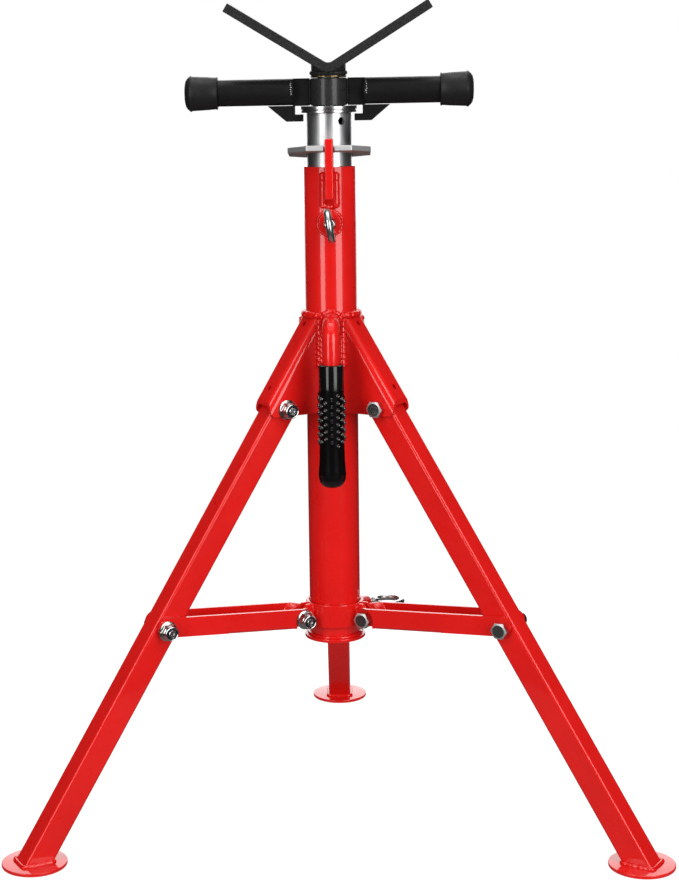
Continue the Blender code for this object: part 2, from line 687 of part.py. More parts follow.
# Carry handle: a bent rod welded to the column's front, and its rubber grip
rod_radius = HANDLE_ROD_DIAMETER / 2
handle_mid = HANDLE_TOP - rod_radius
rod_end = GRIP_BOTTOM + GRIP_END_WALL + GAP
handle_ring = [(rod_radius * math.cos(a), rod_radius * math.sin(a), 0) for a in
               (2 * math.pi * i / SMALL_FACETS for i in range(SMALL_FACETS))]
bend_centre = Vector((0, -(HANDLE_REACH - HANDLE_BEND_RADIUS), handle_mid - HANDLE_BEND_RADIUS))
handle_route = [Matrix.Translation((0, -(TUBE_RADIUS - rod_radius / 2), handle_mid))
                @ Matrix.Rotation(math.radians(90), 4, "X")]
elbow_steps = 6
for step in range(elbow_steps + 1):
    angle = math.radians(90) * step / elbow_steps
    on_arc = bend_centre + Vector((0, -math.sin(angle), math.cos(angle))) * HANDLE_BEND_RADIUS
    handle_route.append(Matrix.Translation(on_arc) @ Matrix.Rotation(math.radians(90) + angle, 4, "X"))
handle_route.append(Matrix.Translation((0, -HANDLE_REACH, rod_end))
                    @ Matrix.Rotation(math.radians(180), 4, "X"))
handle_mesh = swept(handle_route, [handle_ring] * len(handle_route))
carry_handle = place("carry_handle", handle_mesh, red_paint, stand)
column_space = rod(TUBE_RADIUS + GAP, BRACKET_BOTTOM, TUBE_TOP, TUBE_FACETS)
column_cutter = cutter("column_cutter", column_space, stand)
cut(carry_handle, column_cutter)
grip_radius = GRIP_DIAMETER / 2
end_radius = GRIP_END_DIAMETER / 2
grip_profile = [
    (rod_radius + GAP, GRIP_TOP),
    (grip_radius, GRIP_TOP),
    (grip_radius, GRIP_BOTTOM + (GRIP_TOP - GRIP_BOTTOM) / 3),
    (end_radius, GRIP_BOTTOM + end_radius),
    (end_radius, GRIP_BOTTOM + end_radius / 2),
    (end_radius / 2, GRIP_BOTTOM),
    (0, GRIP_BOTTOM),
    (0, rod_end - GAP),
    (rod_radius + GAP, rod_end - GAP),
]
place("carry_handle_grip", turned(grip_profile, SMALL_FACETS), grip_rubber, stand, (0, -HANDLE_REACH, 0))

# Collar with three double ears, and its clamp
collar_axis = empty("collar_axis", stand)
collar_radius = TUBE_RADIUS + COLLAR_PLAY + COLLAR_WALL
collar_mesh = pipe(collar_radius, TUBE_RADIUS + COLLAR_PLAY, COLLAR_BOTTOM, COLLAR_TOP, TUBE_FACETS)
collar = place("collar", collar_mesh, red_paint, collar_axis)
ear_root = TUBE_RADIUS + COLLAR_PLAY + COLLAR_WALL / 2
ear_outline = [
    (ear_root, COLLAR_BOTTOM),
    *arc((COLLAR_PIVOT_RADIUS, COLLAR_BOTTOM + EAR_RADIUS), EAR_RADIUS, -90, 60, 8),
    (EAR_SHOULDER, COLLAR_TOP),
    (ear_root, COLLAR_TOP),
]
for side, degrees in LEG_AZIMUTHS.items():
    for flank in (-1, 1):
        face = flank * EAR_WIDTH / 2
        back = face - flank * EAR_PLATE
        ear = plate(ear_outline, min(face, back), max(face, back))
        ear_shape = cutter("collar_ear_shape", ear, collar_axis, rotation=(0, 0, math.radians(degrees)))
        combine(collar, ear_shape, "UNION")
for side, degrees in LEG_AZIMUTHS.items():
    turn = math.radians(degrees)
    hole = across(BOLT_HOLE_RADIUS, EAR_WIDTH)
    where = (COLLAR_PIVOT_RADIUS * math.cos(turn), COLLAR_PIVOT_RADIUS * math.sin(turn),
             COLLAR_PIVOT_HEIGHT)
    cut(collar, cutter("collar_ear_hole_cutter", hole, collar_axis, where, (0, 0, turn)))
clamp_height = (COLLAR_BOTTOM + COLLAR_TOP) / 2
collar_hole = across(eye_hole_radius, COLLAR_WALL + OVERRUN)
clamp_place = (collar_radius * math.sin(LOWER_EYE_AZIMUTH),
               -collar_radius * math.cos(LOWER_EYE_AZIMUTH), clamp_height)
cut(collar, cutter("collar_clamp_hole_cutter", collar_hole, collar_axis, clamp_place,
                   (0, 0, LOWER_EYE_AZIMUTH)))
clamp("lower", collar_axis, clamp_height, LOWER_BOSS_DIAMETER, collar_radius + GAP, LOWER_BOSS_LENGTH,
      TUBE_RADIUS + GAP, LOWER_EYE_NECK, LOWER_EYE_AZIMUTH, LOWER_EYE_ROLL)


def leg_section(grow):
    """A rounded square round the leg's axis, its sides moved out by grow."""
    half = LEG_SIZE / 2 + grow
    radius = LEG_CORNER + grow
    inset = half - radius
    points = []
    for corner, (sx, sy) in enumerate(((1, 1), (-1, 1), (-1, -1), (1, -1))):
        points += arc((sx * inset, sy * inset), radius, corner * 90, corner * 90 + 90, 3)
    return points


def leg_mesh():
    """A square tube down local -Z from the pivot, its foot end cut level with the floor."""
    shape = bmesh.new()
    rings = []
    for grow in (0, -LEG_WALL):
        top, bottom = [], []
        for x, y in leg_section(grow):
            rise_here = LEG_PIVOT_HEIGHT - FOOT_THICKNESS - GAP + x * math.sin(LEG_TILT)
            top.append(shape.verts.new((x, y, LEG_TOP_MARGIN)))
            bottom.append(shape.verts.new((x, y, -rise_here / math.cos(LEG_TILT))))
        rings.append((top, bottom))
    (top, bottom), (bore_top, bore_bottom) = rings
    for first, second in ((top, bottom), (bottom, bore_bottom), (bore_bottom, bore_top), (bore_top, top)):
        for i in range(len(first)):
            following = (i + 1) % len(first)
            shape.faces.new((first[i], first[following], second[following], second[i]))
    return mesh_of(shape)


def bracket_mesh(inset, back):
    """A prism with the bracket's side outline, moved in at its sloping back."""
    slope_top = LEG_PIVOT + LEG_OUTWARD * (BRACKET_BACK - back)
    steep = LEG_DIRECTION.x / LEG_DIRECTION.y
    top_radius = slope_top.x + (BRACKET_TOP - slope_top.y) * steep
    end_height = slope_top.y + (BRACKET_LENGTH - slope_top.x) / steep
    half = BRACKET_OUTSIDE - inset
    past = OVERRUN if back else 0
    outline = [
        (-past, BRACKET_BOTTOM - past),
        *arc((BRACKET_LENGTH - BRACKET_CORNER, BRACKET_BOTTOM + BRACKET_CORNER),
             BRACKET_CORNER + past, -90, 0, 4),
        (BRACKET_LENGTH + past, end_height - past / steep if back else end_height),
        (top_radius, BRACKET_TOP),
        (-past, BRACKET_TOP),
    ]
    return plate(outline, -half, half)


def brace_half(x, z):
    """Half of the brace's width: full along the channel, and pressed in to the ear round the collar's pin."""
    distance = math.hypot(x, z) if x > 0 else abs(z) * max(0, 1 + x / BRACE_DIMPLE_END)
    share = min(1, max(0, (distance - DIMPLE_FLAT) / BRACE_DIMPLE_WALL))
    return PINCH_OUTSIDE + (BRACE_OUTSIDE - PINCH_OUTSIDE) * share


def brace_mesh():
    """A channel along local X from the collar's pin to the leg's, with a dimple round the collar's pin."""
    reach = BRACE_RISE + BRACE_DROP
    dimple_edge = DIMPLE_FLAT + BRACE_DIMPLE_WALL
    stations = [-reach, -BRACE_DIMPLE_END]
    stations += [-BRACE_DIMPLE_END * share for share in BRACE_GRID_SHARES[1:-1]][::-1]
    stations += [dimple_edge * share for share in BRACE_GRID_SHARES]
    stations += [BRACE_SPAN + reach]
    levels = [-BRACE_DROP, -BRACE_DROP + BRACE_SHEET, 0]
    levels += [BRACE_RISE * share for share in BRACE_GRID_SHARES[1:-1]] + [BRACE_RISE + OVERRUN]
    inner_levels = [-BRACE_DROP + BRACE_SHEET] + levels[2:]
    rings = []
    for x in stations:
        outer = [(x, brace_half(x, z), z) for z in levels]
        inner = [(x, brace_half(x, z) - BRACE_SHEET, z) for z in reversed(inner_levels)]
        half_ring = outer + inner
        rings.append(half_ring + [(px, -py, pz) for px, py, pz in reversed(half_ring)])
    made = swept([Matrix.Identity(4)] * len(rings), rings)
    # The dimple's wall is curved, so its quads are split before they are cut
    shape = bmesh.new()
    shape.from_mesh(made)
    bmesh.ops.triangulate(shape, faces=shape.faces)
    return mesh_of(shape)


end_radius_brace = (BRACE_RISE + BRACE_DROP) / 2
end_height_brace = (BRACE_RISE - BRACE_DROP) / 2
brace_outline = [
    *arc((BRACE_SPAN, end_height_brace), end_radius_brace, -90, 90, 8),
    *arc((0, end_height_brace), end_radius_brace, 90, 270, 8),
]
brace_limit_mesh = plate(brace_outline, -BRACE_OUTSIDE - OVERRUN, BRACE_OUTSIDE + OVERRUN)
web_gap_low = -BRACE_DROP - OVERRUN
web_gap_high = -BRACE_DROP + BRACE_SHEET + OVERRUN
leg_end_gap = plate(
    [
        (BRACE_SPAN - BRACE_WEB_CUT, web_gap_low),
        (BRACE_SPAN + end_radius_brace + OVERRUN, web_gap_low),
        (BRACE_SPAN + end_radius_brace + OVERRUN, web_gap_high),
        (BRACE_SPAN - BRACE_WEB_CUT, web_gap_high),
    ],
    -BRACE_INSIDE - GAP,
    BRACE_INSIDE + GAP,
)
collar_end_gap = plate(
    [
        (-end_radius_brace - OVERRUN, web_gap_low),
        (BRACE_WEB_START, web_gap_low),
        (BRACE_WEB_START, web_gap_high),
        (-end_radius_brace - OVERRUN, web_gap_high),
    ],
    BRACE_SHEET - PINCH_OUTSIDE - GAP,
    PINCH_OUTSIDE - BRACE_SHEET + GAP,
)
pivot_half = BRACKET_OUTSIDE + GAP
pin_half = BRACE_OUTSIDE + GAP
ear_half = PINCH_OUTSIDE + GAP
pivot_bolt = bolt_mesh(-pivot_half, pivot_half + NUT_TOTAL + BOLT_PROTRUSION)
pivot_nut = nut_mesh(pivot_half)
ear_bolt = bolt_mesh(-ear_half, ear_half + NUT_TOTAL + BOLT_PROTRUSION)
ear_nut = nut_mesh(ear_half)
pin_head = bolt_mesh(-pin_half, -BRACE_INSIDE)
pin_nut = nut_with_end_mesh(pin_half, BRACE_INSIDE)
foot_mesh = rod(FOOT_DIAMETER / 2, 0, FOOT_THICKNESS, TUBE_FACETS)

# Leg brackets, legs, feet and braces, the same on each side
for side, degrees in LEG_AZIMUTHS.items():
    turn = math.radians(degrees)
    bracket = place("leg_bracket_" + side, bracket_mesh(0, 0), red_paint, stand, rotation=(0, 0, turn))
    hollow = bracket_mesh(BRACKET_PLATE, BRACKET_PLATE)
    cut(bracket, cutter("bracket_hollow_" + side, hollow, stand, rotation=(0, 0, turn)))
    cut(bracket, column_cutter)
    pivot_place = (LEG_PIVOT_RADIUS * math.cos(turn), LEG_PIVOT_RADIUS * math.sin(turn),
                   LEG_PIVOT_HEIGHT)
    wide_hole = across(BOLT_HOLE_RADIUS, BRACKET_OUTSIDE + OVERRUN)
    cut(bracket, cutter("bracket_pin_cutter_" + side, wide_hole, stand, pivot_place, (0, 0, turn)))
    back_top = LEG_PIVOT + LEG_OUTWARD * BRACKET_BACK
    back_top -= LEG_DIRECTION * ((BRACKET_TOP - back_top.y) / math.cos(LEG_TILT))
    back_length = (BRACKET_LENGTH - back_top.x) / LEG_DIRECTION.x
    for share in BRACKET_HOLE_SHARES:
        spot = back_top + LEG_DIRECTION * back_length * share
        small_hole = rod(BRACKET_HOLE_DIAMETER / 2, -BRACKET_PLATE * 2, BRACKET_PLATE, BOLT_FACETS)
        where = (spot.x * math.cos(turn), spot.x * math.sin(turn), spot.y)
        tilt = (0, math.radians(90) - LEG_TILT, turn)
        cut(bracket, cutter("bracket_hole_cutter_" + side, small_hole, stand, where, tilt))
    pivot_pin = empty("leg_pin_" + side, stand, pivot_place, (0, 0, turn))
    place("pivot_bolt_" + side, pivot_bolt, bolt_zinc, pivot_pin)
    place("pivot_nut_" + side, pivot_nut, bolt_zinc, pivot_pin)

    leg_axis = empty("leg_axis_" + side, stand, pivot_place, (0, 0, turn))
    leg = place("leg_" + side, leg_mesh(), red_paint, leg_axis, rotation=(0, -LEG_TILT, 0))
    for distance in (0, BRACE_DISTANCE):
        leg_hole = across(BOLT_HOLE_RADIUS, LEG_SIZE)
        spot = LEG_DIRECTION * distance
        cut(leg, cutter("leg_hole_cutter_" + side, leg_hole, leg_axis, (spot.x, 0, spot.y)))
    foot_spot = (FOOT_RADIUS - LEG_PIVOT_RADIUS, 0, -LEG_PIVOT_HEIGHT)
    place("foot_" + side, foot_mesh, red_paint, leg_axis, foot_spot)

    brace_place = (COLLAR_PIVOT_RADIUS * math.cos(turn), COLLAR_PIVOT_RADIUS * math.sin(turn),
                   COLLAR_PIVOT_HEIGHT)
    brace_axis = empty("brace_axis_" + side, collar_axis, brace_place, (0, -BRACE_SLOPE, turn))
    brace = place("brace_" + side, brace_mesh(), red_paint, brace_axis)
    combine(brace, cutter("brace_limit_" + side, brace_limit_mesh, brace_axis), "INTERSECT")
    cut(brace, cutter("brace_leg_gap_" + side, leg_end_gap, brace_axis))
    cut(brace, cutter("brace_collar_gap_" + side, collar_end_gap, brace_axis))
    for x in (0, BRACE_SPAN):
        brace_hole = across(BOLT_HOLE_RADIUS, BRACE_OUTSIDE + OVERRUN)
        cut(brace, cutter("brace_hole_cutter_" + side, brace_hole, brace_axis, (x, 0, 0)))
    place("brace_bolt_" + side, pin_head, bolt_zinc, brace_axis, (BRACE_SPAN, 0, 0))
    place("brace_nut_" + side, pin_nut, bolt_zinc, brace_axis, (BRACE_SPAN, 0, 0))
    ear_pin = empty("collar_pin_" + side, collar_axis, brace_place, (0, 0, turn))
    place("collar_bolt_" + side, ear_bolt, bolt_zinc, ear_pin)
    place("collar_nut_" + side, ear_nut, bolt_zinc, ear_pin)
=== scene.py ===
"""Looks of the pipe jack stand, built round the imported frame. Metres, +Z up, the front faces -Y."""

import json
from math import asin, atan2, cos, degrees, hypot, pi, radians, sin, sqrt, tan

import bmesh
import bpy
from mathutils import Matrix, Vector, noise


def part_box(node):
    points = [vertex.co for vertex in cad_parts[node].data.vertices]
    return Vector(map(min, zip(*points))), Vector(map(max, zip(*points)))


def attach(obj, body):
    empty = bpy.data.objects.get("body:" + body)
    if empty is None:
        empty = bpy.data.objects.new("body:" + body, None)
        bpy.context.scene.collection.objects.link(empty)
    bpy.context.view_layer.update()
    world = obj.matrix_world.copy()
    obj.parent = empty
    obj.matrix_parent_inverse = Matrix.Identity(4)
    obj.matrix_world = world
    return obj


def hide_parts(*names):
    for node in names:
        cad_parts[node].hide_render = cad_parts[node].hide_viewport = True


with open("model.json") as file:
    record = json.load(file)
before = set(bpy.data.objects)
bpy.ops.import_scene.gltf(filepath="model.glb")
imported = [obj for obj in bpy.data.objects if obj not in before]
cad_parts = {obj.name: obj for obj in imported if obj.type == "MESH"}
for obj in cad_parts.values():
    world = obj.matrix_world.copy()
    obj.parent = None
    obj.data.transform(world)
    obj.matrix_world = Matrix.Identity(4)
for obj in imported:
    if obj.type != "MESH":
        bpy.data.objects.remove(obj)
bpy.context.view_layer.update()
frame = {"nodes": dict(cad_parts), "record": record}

nodes = frame["nodes"]
body_of_node = {node: body for body, held in frame["record"]["behaviour"]["bodies"].items() for node in held}

# Camera, fitted to the photograph: it stands in front of the mast, looks a little down, and its picture
# is cropped off centre
CAMERA_DISTANCE = 1.7684
CAMERA_HEIGHT = 0.7069
CAMERA_AZIMUTH = radians(0.787)
CAMERA_PAN = radians(-2.499)
CAMERA_PITCH = radians(11.122)
CAMERA_ROLL = radians(-1.182)
CAMERA_LENS_MM = 77.56
CAMERA_SHIFT = 0.0997

# Legs, column and head, where the frame's boxes don't give a size
SIDES = {"left": -150, "right": -30, "rear": 90}
TUBE_WALL = 0.0032
MAST_WALL = 0.0030
LEG_SIZE = 0.0240
LEG_WALL = 0.0020
LEG_CORNER = 0.0028
LEG_TILT = radians(33.43)
COLLAR_RADIUS = 0.02765
EAR_HALF = 0.0056
LOWER_BOSS_RADIUS = 0.0091
HANDLE_BEND = 0.0170
NECK_FACETS = 72
NECK_ROUND = 0.0040

# Fasteners
HEX_FLATS = 0.0143
CHAMFER_START = 0.86
CHAMFER_SLOPE = 0.577
HEAD_HEIGHT = 0.0060
HEAD_WASHER = 0.0004
NUT_HEIGHT = 0.0102
NUT_FLANGE = 0.0184
NUT_FLANGE_HEIGHT = 0.0013
NUT_CROWN = 0.0132
NUT_CROWN_HEIGHT = 0.0025
NUT_LIP = 0.0007
BOLT_DIAMETER = 0.0095
BOLT_STUB = 0.0008
EYE_WIRE = 0.0062
EYE_RING = 0.0325
EYE_SHANK = 0.0100
SCREW_RADIUS = 0.0120
SCREW_BORE = 0.0123
SCREW_PITCH = 0.0050
CLAMP_PITCH = 0.0015

# Brackets and braces
BRACKET_PLATE = 0.0028
BRACKET_BEND = 0.0078
BRACKET_CORNER = 0.0060
BRACKET_DEPTH = 0.12
BRACKET_HOLE = 0.0026
BRACKET_HOLE_SHARES = (0.10, 0.86)
BRACE_SHEET = 0.0026
BRACE_BEND = 0.0032
BRACE_EDGE_LIFT = 0.0006
BRACE_ROWS = 30
BRACE_WEB_START = 0.0150
BRACE_WEB_CUT = 0.0620
DIMPLE_FLAT = 0.0100
DIMPLE_WALL = 0.0040
DIMPLE_END = 0.0090

# Welds, and the distance within which two points are one
BRACKET_WELD_START = 0.043
FOOT_WELD_CORNER = 0.003
WELD_DISTANCE = 0.00001

# Grip: the sleeve's radius, the heights between which it is dull, and its raised rings
GRIP_BODY = 0.0114
GRIP_DULL = (0.0128, 0.0910)
GRIP_FLOOR = 0.0043
GRIP_ROWS = (7, 8, 7, 6, 7, 8, 7, 6, 7, 8, 7, 7, 6)
GRIP_PHASE = radians(-88.6)
GRIP_ROW = 0.0066
GRIP_MIDDLE_SHARE = 0.557
KNOB_RADIUS = 0.0021
KNOB_HEIGHT = 0.0015
KNOB_FACETS = 14

# Studio
FLOOR_RADIUS = 1.6
FLOOR_SHADOW_RADIUS = 0.30
FLOOR_GLOW = 0.80
FLOOR_GREY = 0.40
ROOM_LIGHT = 0.30
TENT_RADIUS = 2.9
TENT_HALF_TURN = 150
TENT_GREY = 0.02
BOARD_LEVEL = 0.001
BOARD_RADIUS = 0.50
BOARD_GREY = 0.15
BOX_DISTANCE = 2.2
FRONT_LIGHTS = (("key_light", -34, 0.85, 35), ("fill_light", 37, 1.20, 50))

mast_low, mast_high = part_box("outer_tube")
MAST_Y = (mast_low.y + mast_high.y) / 2
TUBE_RADIUS = (mast_high.x - mast_low.x) / 2
MAST = Matrix.Translation((0, MAST_Y, 0))


# Frames and boxes

def spin(angle_degrees, axis):
    return Matrix.Rotation(radians(angle_degrees), 4, axis)


def shift(x, y, z):
    return Matrix.Translation((x, y, z))


ALONG_Y = spin(-90, "X")


def spoke(side):
    """The frame of one leg: X points out from the mast, Z up."""
    return MAST @ spin(SIDES[side], "Z")


def points_of(node, matrix):
    """A node's points in the frame that the matrix places."""
    inverse = matrix.inverted()
    return [inverse @ vertex.co for vertex in nodes[node].data.vertices]


def local_box(node, matrix):
    """Lowest and highest corner of a node in the frame that the matrix places."""
    points = points_of(node, matrix)
    low = Vector(min(point[i] for point in points) for i in range(3))
    high = Vector(max(point[i] for point in points) for i in range(3))
    return low, high


def upright_rod(node):
    """Radius, lowest and highest point of a round node that stands along Z."""
    low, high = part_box(node)
    return (high.x - low.x) / 2, low.z, high.z


def lying_rod(node):
    """Radius and height of a round node that lies across Z."""
    low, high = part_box(node)
    return (high.z - low.z) / 2, (low.z + high.z) / 2


# Materials

NOISE = "ShaderNodeTexNoise"
CELLS = "ShaderNodeTexVoronoi"


def shader_material(name, colour, roughness, specular=None, metallic=0.0, coat=0.0, coat_roughness=0.1):
    made = bpy.data.materials.new(name)
    made.use_nodes = True
    shader = made.node_tree.nodes["Principled BSDF"]
    shader.inputs["Base Color"].default_value = (*colour, 1)
    shader.inputs["Roughness"].default_value = roughness
    shader.inputs["Metallic"].default_value = metallic
    shader.inputs["Coat Weight"].default_value = coat
    shader.inputs["Coat Roughness"].default_value = coat_roughness
    if specular is not None:
        shader.inputs["Specular IOR Level"].default_value = specular
    return made, shader


def texture(made, kind, scale, stretch=(1, 1, 1), detail=3.0, feature=None):
    """The value of a noise or cell texture in object space, with its scale in features for each metre."""
    tree = made.node_tree
    place = tree.nodes.new("ShaderNodeTexCoord")
    mapping = tree.nodes.new("ShaderNodeMapping")
    mapping.inputs["Scale"].default_value = stretch
    tree.links.new(place.outputs["Object"], mapping.inputs["Vector"])
    made_texture = tree.nodes.new(kind)
    if feature:
        made_texture.feature = feature
    made_texture.inputs["Scale"].default_value = scale
    if "Detail" in made_texture.inputs:
        made_texture.inputs["Detail"].default_value = detail
    tree.links.new(mapping.outputs["Vector"], made_texture.inputs["Vector"])
    return made_texture.outputs["Fac" if kind == NOISE else "Distance"]


def vary(made, shader, socket, source, low, high, low_at=0.3, high_at=0.7):
    """Gives a shader value a ramp between two colours, or two greys, over the source value."""
    tree = made.node_tree
    ramp = tree.nodes.new("ShaderNodeValToRGB")
    for element, colour, place in zip(ramp.color_ramp.elements, (low, high), (low_at, high_at)):
        element.color = (*colour, 1) if isinstance(colour, tuple) else (colour, colour, colour, 1)
        element.position = place
    tree.links.new(source, ramp.inputs["Fac"])
    tree.links.new(ramp.outputs["Color"], shader.inputs[socket])


def bump(made, shader, source, strength, distance):
    tree = made.node_tree
    made_bump = tree.nodes.new("ShaderNodeBump")
    made_bump.inputs["Strength"].default_value = strength
    made_bump.inputs["Distance"].default_value = distance
    tree.links.new(source, made_bump.inputs["Height"])
    tree.links.new(made_bump.outputs["Normal"], shader.inputs["Normal"])


def red_powder_coat(name, roughness, peel):
    """Glossy red powder coat with a fine orange peel and slow changes of tone."""
    made, shader = shader_material(name, (0.70, 0.008, 0.006), roughness, 0.15, coat=0.9, coat_roughness=0.05)
    vary(made, shader, "Base Color", texture(made, NOISE, 14), (0.655, 0.007, 0.0055), (0.74, 0.0092, 0.0072))
    vary(made, shader, "Roughness", texture(made, NOISE, 60), roughness - 0.05, roughness + 0.07)
    bump(made, shader, texture(made, NOISE, 620, detail=1.5), peel, 0.0002)
    return made


def hammered_black(name, coat=0.12):
    """Black hammertone enamel: small round dimples under a half-gloss skin."""
    made, shader = shader_material(name, (0.014, 0.014, 0.015), 0.36, 0.15, coat=coat, coat_roughness=0.2)
    vary(made, shader, "Base Color", texture(made, NOISE, 900), (0.011, 0.011, 0.012), (0.030, 0.030, 0.031))
    bump(made, shader, texture(made, CELLS, 520, feature="SMOOTH_F1"), 0.55, 0.0006)
    return made


def satin_black(name):
    made, shader = shader_material(name, (0.009, 0.009, 0.0095), 0.38, 0.12)
    vary(made, shader, "Roughness", texture(made, NOISE, 90), 0.30, 0.44)
    bump(made, shader, texture(made, NOISE, 800), 0.12, 0.0002)
    return made


def drawn_zinc(name):
    """Zinc plate over drawn tube: fine lines along Z, and slow clouds."""
    made, shader = shader_material(name, (0.72, 0.73, 0.74), 0.36, metallic=1.0)
    lines = texture(made, NOISE, 900, stretch=(1, 1, 0.012), detail=4)
    vary(made, shader, "Base Color", lines, (0.56, 0.57, 0.585), (0.82, 0.825, 0.83))
    vary(made, shader, "Roughness", texture(made, NOISE, 55), 0.30, 0.44)
    bump(made, shader, lines, 0.10, 0.0001)
    return made


def plated(name, colour, roughness):
    """Bright plating with a faint spangle."""
    made, shader = shader_material(name, colour, roughness, metallic=1.0)
    dark = tuple(part * 0.80 for part in colour)
    vary(made, shader, "Base Color", texture(made, CELLS, 420), colour, dark, 0.1, 0.8)
    bump(made, shader, texture(made, NOISE, 1300), 0.12, 0.0001)
    return made


def moulded_rubber(name, colour, roughness, gloss=0.22, coat=0.0):
    made, shader = shader_material(name, colour, roughness, gloss, coat=coat, coat_roughness=0.06)
    vary(made, shader, "Roughness", texture(made, NOISE, 130), roughness - 0.06, roughness + 0.08)
    bump(made, shader, texture(made, NOISE, 1700), 0.16, 0.0001)
    return made


red_coat = red_powder_coat("red_powder_coat", 0.30, 0.10)
red_weld = red_powder_coat("red_coated_weld", 0.20, 0.16)
hammertone = hammered_black("black_hammertone")
nut_enamel = hammered_black("nut_hammertone", coat=0.55)
black_satin = satin_black("black_satin_paint")
zinc_tube = drawn_zinc("drawn_zinc")
zinc_plate = plated("zinc_plate", (0.78, 0.785, 0.79), 0.24)
zinc_sawn = plated("sawn_zinc_plate", (0.88, 0.88, 0.87), 0.50)
zinc_bolt = plated("bright_zinc_bolt", (0.80, 0.80, 0.79), 0.20)
zinc_eye = plated("bright_zinc_eye", (0.92, 0.92, 0.91), 0.30)
# The bolt heads' chamfer: a rougher copy of the bolt's zinc, lighter in colour as a painted highlight round
# the rim
rim_zinc_painted_highlight = plated("bolt_chamfer_painted_highlight", (0.90, 0.90, 0.89), 0.55)
gold_neck = plated("yellow_passivate", (0.44, 0.31, 0.15), 0.34)
bare_steel = plated("bare_steel_chip", (0.86, 0.86, 0.85), 0.45)
cap_rubber = moulded_rubber("cap_rubber", (0.011, 0.011, 0.012), 0.44)
grip_vinyl = moulded_rubber("grip_vinyl", (0.004, 0.004, 0.0045), 0.12, gloss=0.5)
grip_dull = moulded_rubber("grip_dull_vinyl", (0.0025, 0.0025, 0.0028), 0.36, gloss=0.05)
knob_vinyl = moulded_rubber("grip_knob_vinyl", (0.004, 0.004, 0.0045), 0.12, gloss=1.0, coat=1.0)
nylon = moulded_rubber("nylon_insert", (0.012, 0.014, 0.026), 0.45)


# Mesh helpers

def mesh_of(shape, name):
    bmesh.ops.recalc_face_normals(shape, faces=shape.faces)
    made = bpy.data.meshes.new(name)
    shape.to_mesh(made)
    shape.free()
    return made


def linked(name, data):
    made = bpy.data.objects.new(name, data)
    bpy.context.scene.collection.objects.link(made)
    return made


def piece(name, mesh, finish, body, matrix=None, stands_for=()):
    """A shown piece that rides on a body and may stand for frame nodes."""
    made = linked(name, mesh)
    if not mesh.materials:
        mesh.materials.append(finish)
    if matrix is not None:
        made.matrix_world = matrix
    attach(made, body)
    if stands_for:
        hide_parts(*stands_for)
    return made


def finished(node, mesh, finish, matrix=None):
    """The piece that stands for one frame node and rides on its body."""
    return piece(node + "_finished", mesh, finish, body_of_node[node], matrix, (node,))


def smooth(mesh, sharp_degrees=35):
    mesh.shade_smooth()
    mesh.set_sharp_from_angle(angle=radians(sharp_degrees))
    return mesh


def bridge(shape, loops, closed=False):
    """Faces between neighbouring rings, of which some may be one point.

    Both ends are capped unless the rings close up.
    """
    for first, second in zip(loops, loops[1:] + loops[:1] if closed else loops[1:]):
        for i in range(max(len(first), len(second))):
            corners = [first[i % len(first)], first[(i + 1) % len(first)],
                       second[(i + 1) % len(second)], second[i % len(second)]]
            corners = list(dict.fromkeys(corners))
            if len(corners) > 2:
                shape.faces.new(corners)
    if not closed:
        for end in (loops[0], loops[-1]):
            if len(end) > 2:
                shape.faces.new(end)


def skinned(name, rings, closed=False, sharp_degrees=35):
    """A mesh through rings of points."""
    shape = bmesh.new()
    bridge(shape, [[shape.verts.new(point) for point in ring] for ring in rings], closed)
    return smooth(mesh_of(shape, name), sharp_degrees)


def round_ring(radius, height, facets=48):
    """A level ring of points round Z. A radius of zero makes one point on the axis."""
    angles = [2 * pi * i / facets for i in range(facets if radius else 1)]
    return [(radius * cos(a), radius * sin(a), height) for a in angles]


def turned(profile, facets=64, name="turned"):
    """A closed (radius, height) outline turned round Z."""
    return skinned(name, [round_ring(radius, height, facets) for radius, height in profile], closed=True)


def rounded(corner, radius, before, after, steps=4):
    """Points that round off a profile's corner between two neighbours."""
    corner, before, after = Vector(corner), Vector(before), Vector(after)
    start = corner + (before - corner).normalized() * radius
    end = corner + (after - corner).normalized() * radius
    return [tuple((1 - t) ** 2 * start + 2 * t * (1 - t) * corner + t * t * end)
            for t in (i / steps for i in range(steps + 1))]


def soft_profile(points, radius):
    """The same closed outline with every corner off the axis rounded."""
    made = []
    for i, point in enumerate(points):
        if point[0] == 0:
            made.append(point)
        else:
            made += rounded(point, radius, points[i - 1], points[(i + 1) % len(points)])
    return made


def soft_tube(bore, radius, bottom, top, rounding, facets):
    """A tube, or a disc if the bore is zero, round Z with rounded edges."""
    corners = [(bore, bottom), (radius, bottom), (radius, top), (bore, top)]
    return turned(soft_profile(corners, rounding), facets)


def even(obj):
    """Shades large flat faces flat beside their rounded edges."""
    made = obj.modifiers.new("flat_faces", "WEIGHTED_NORMAL")
    made.keep_sharp = True


def round_edges(obj, width, segments, sharp_degrees):
    """Rounds the edges at which two faces turn by more than the given angle."""
    rounding = obj.modifiers.new("edge_rounding", "BEVEL")
    rounding.limit_method = "ANGLE"
    rounding.angle_limit = radians(sharp_degrees)
    rounding.width = width
    rounding.segments = segments


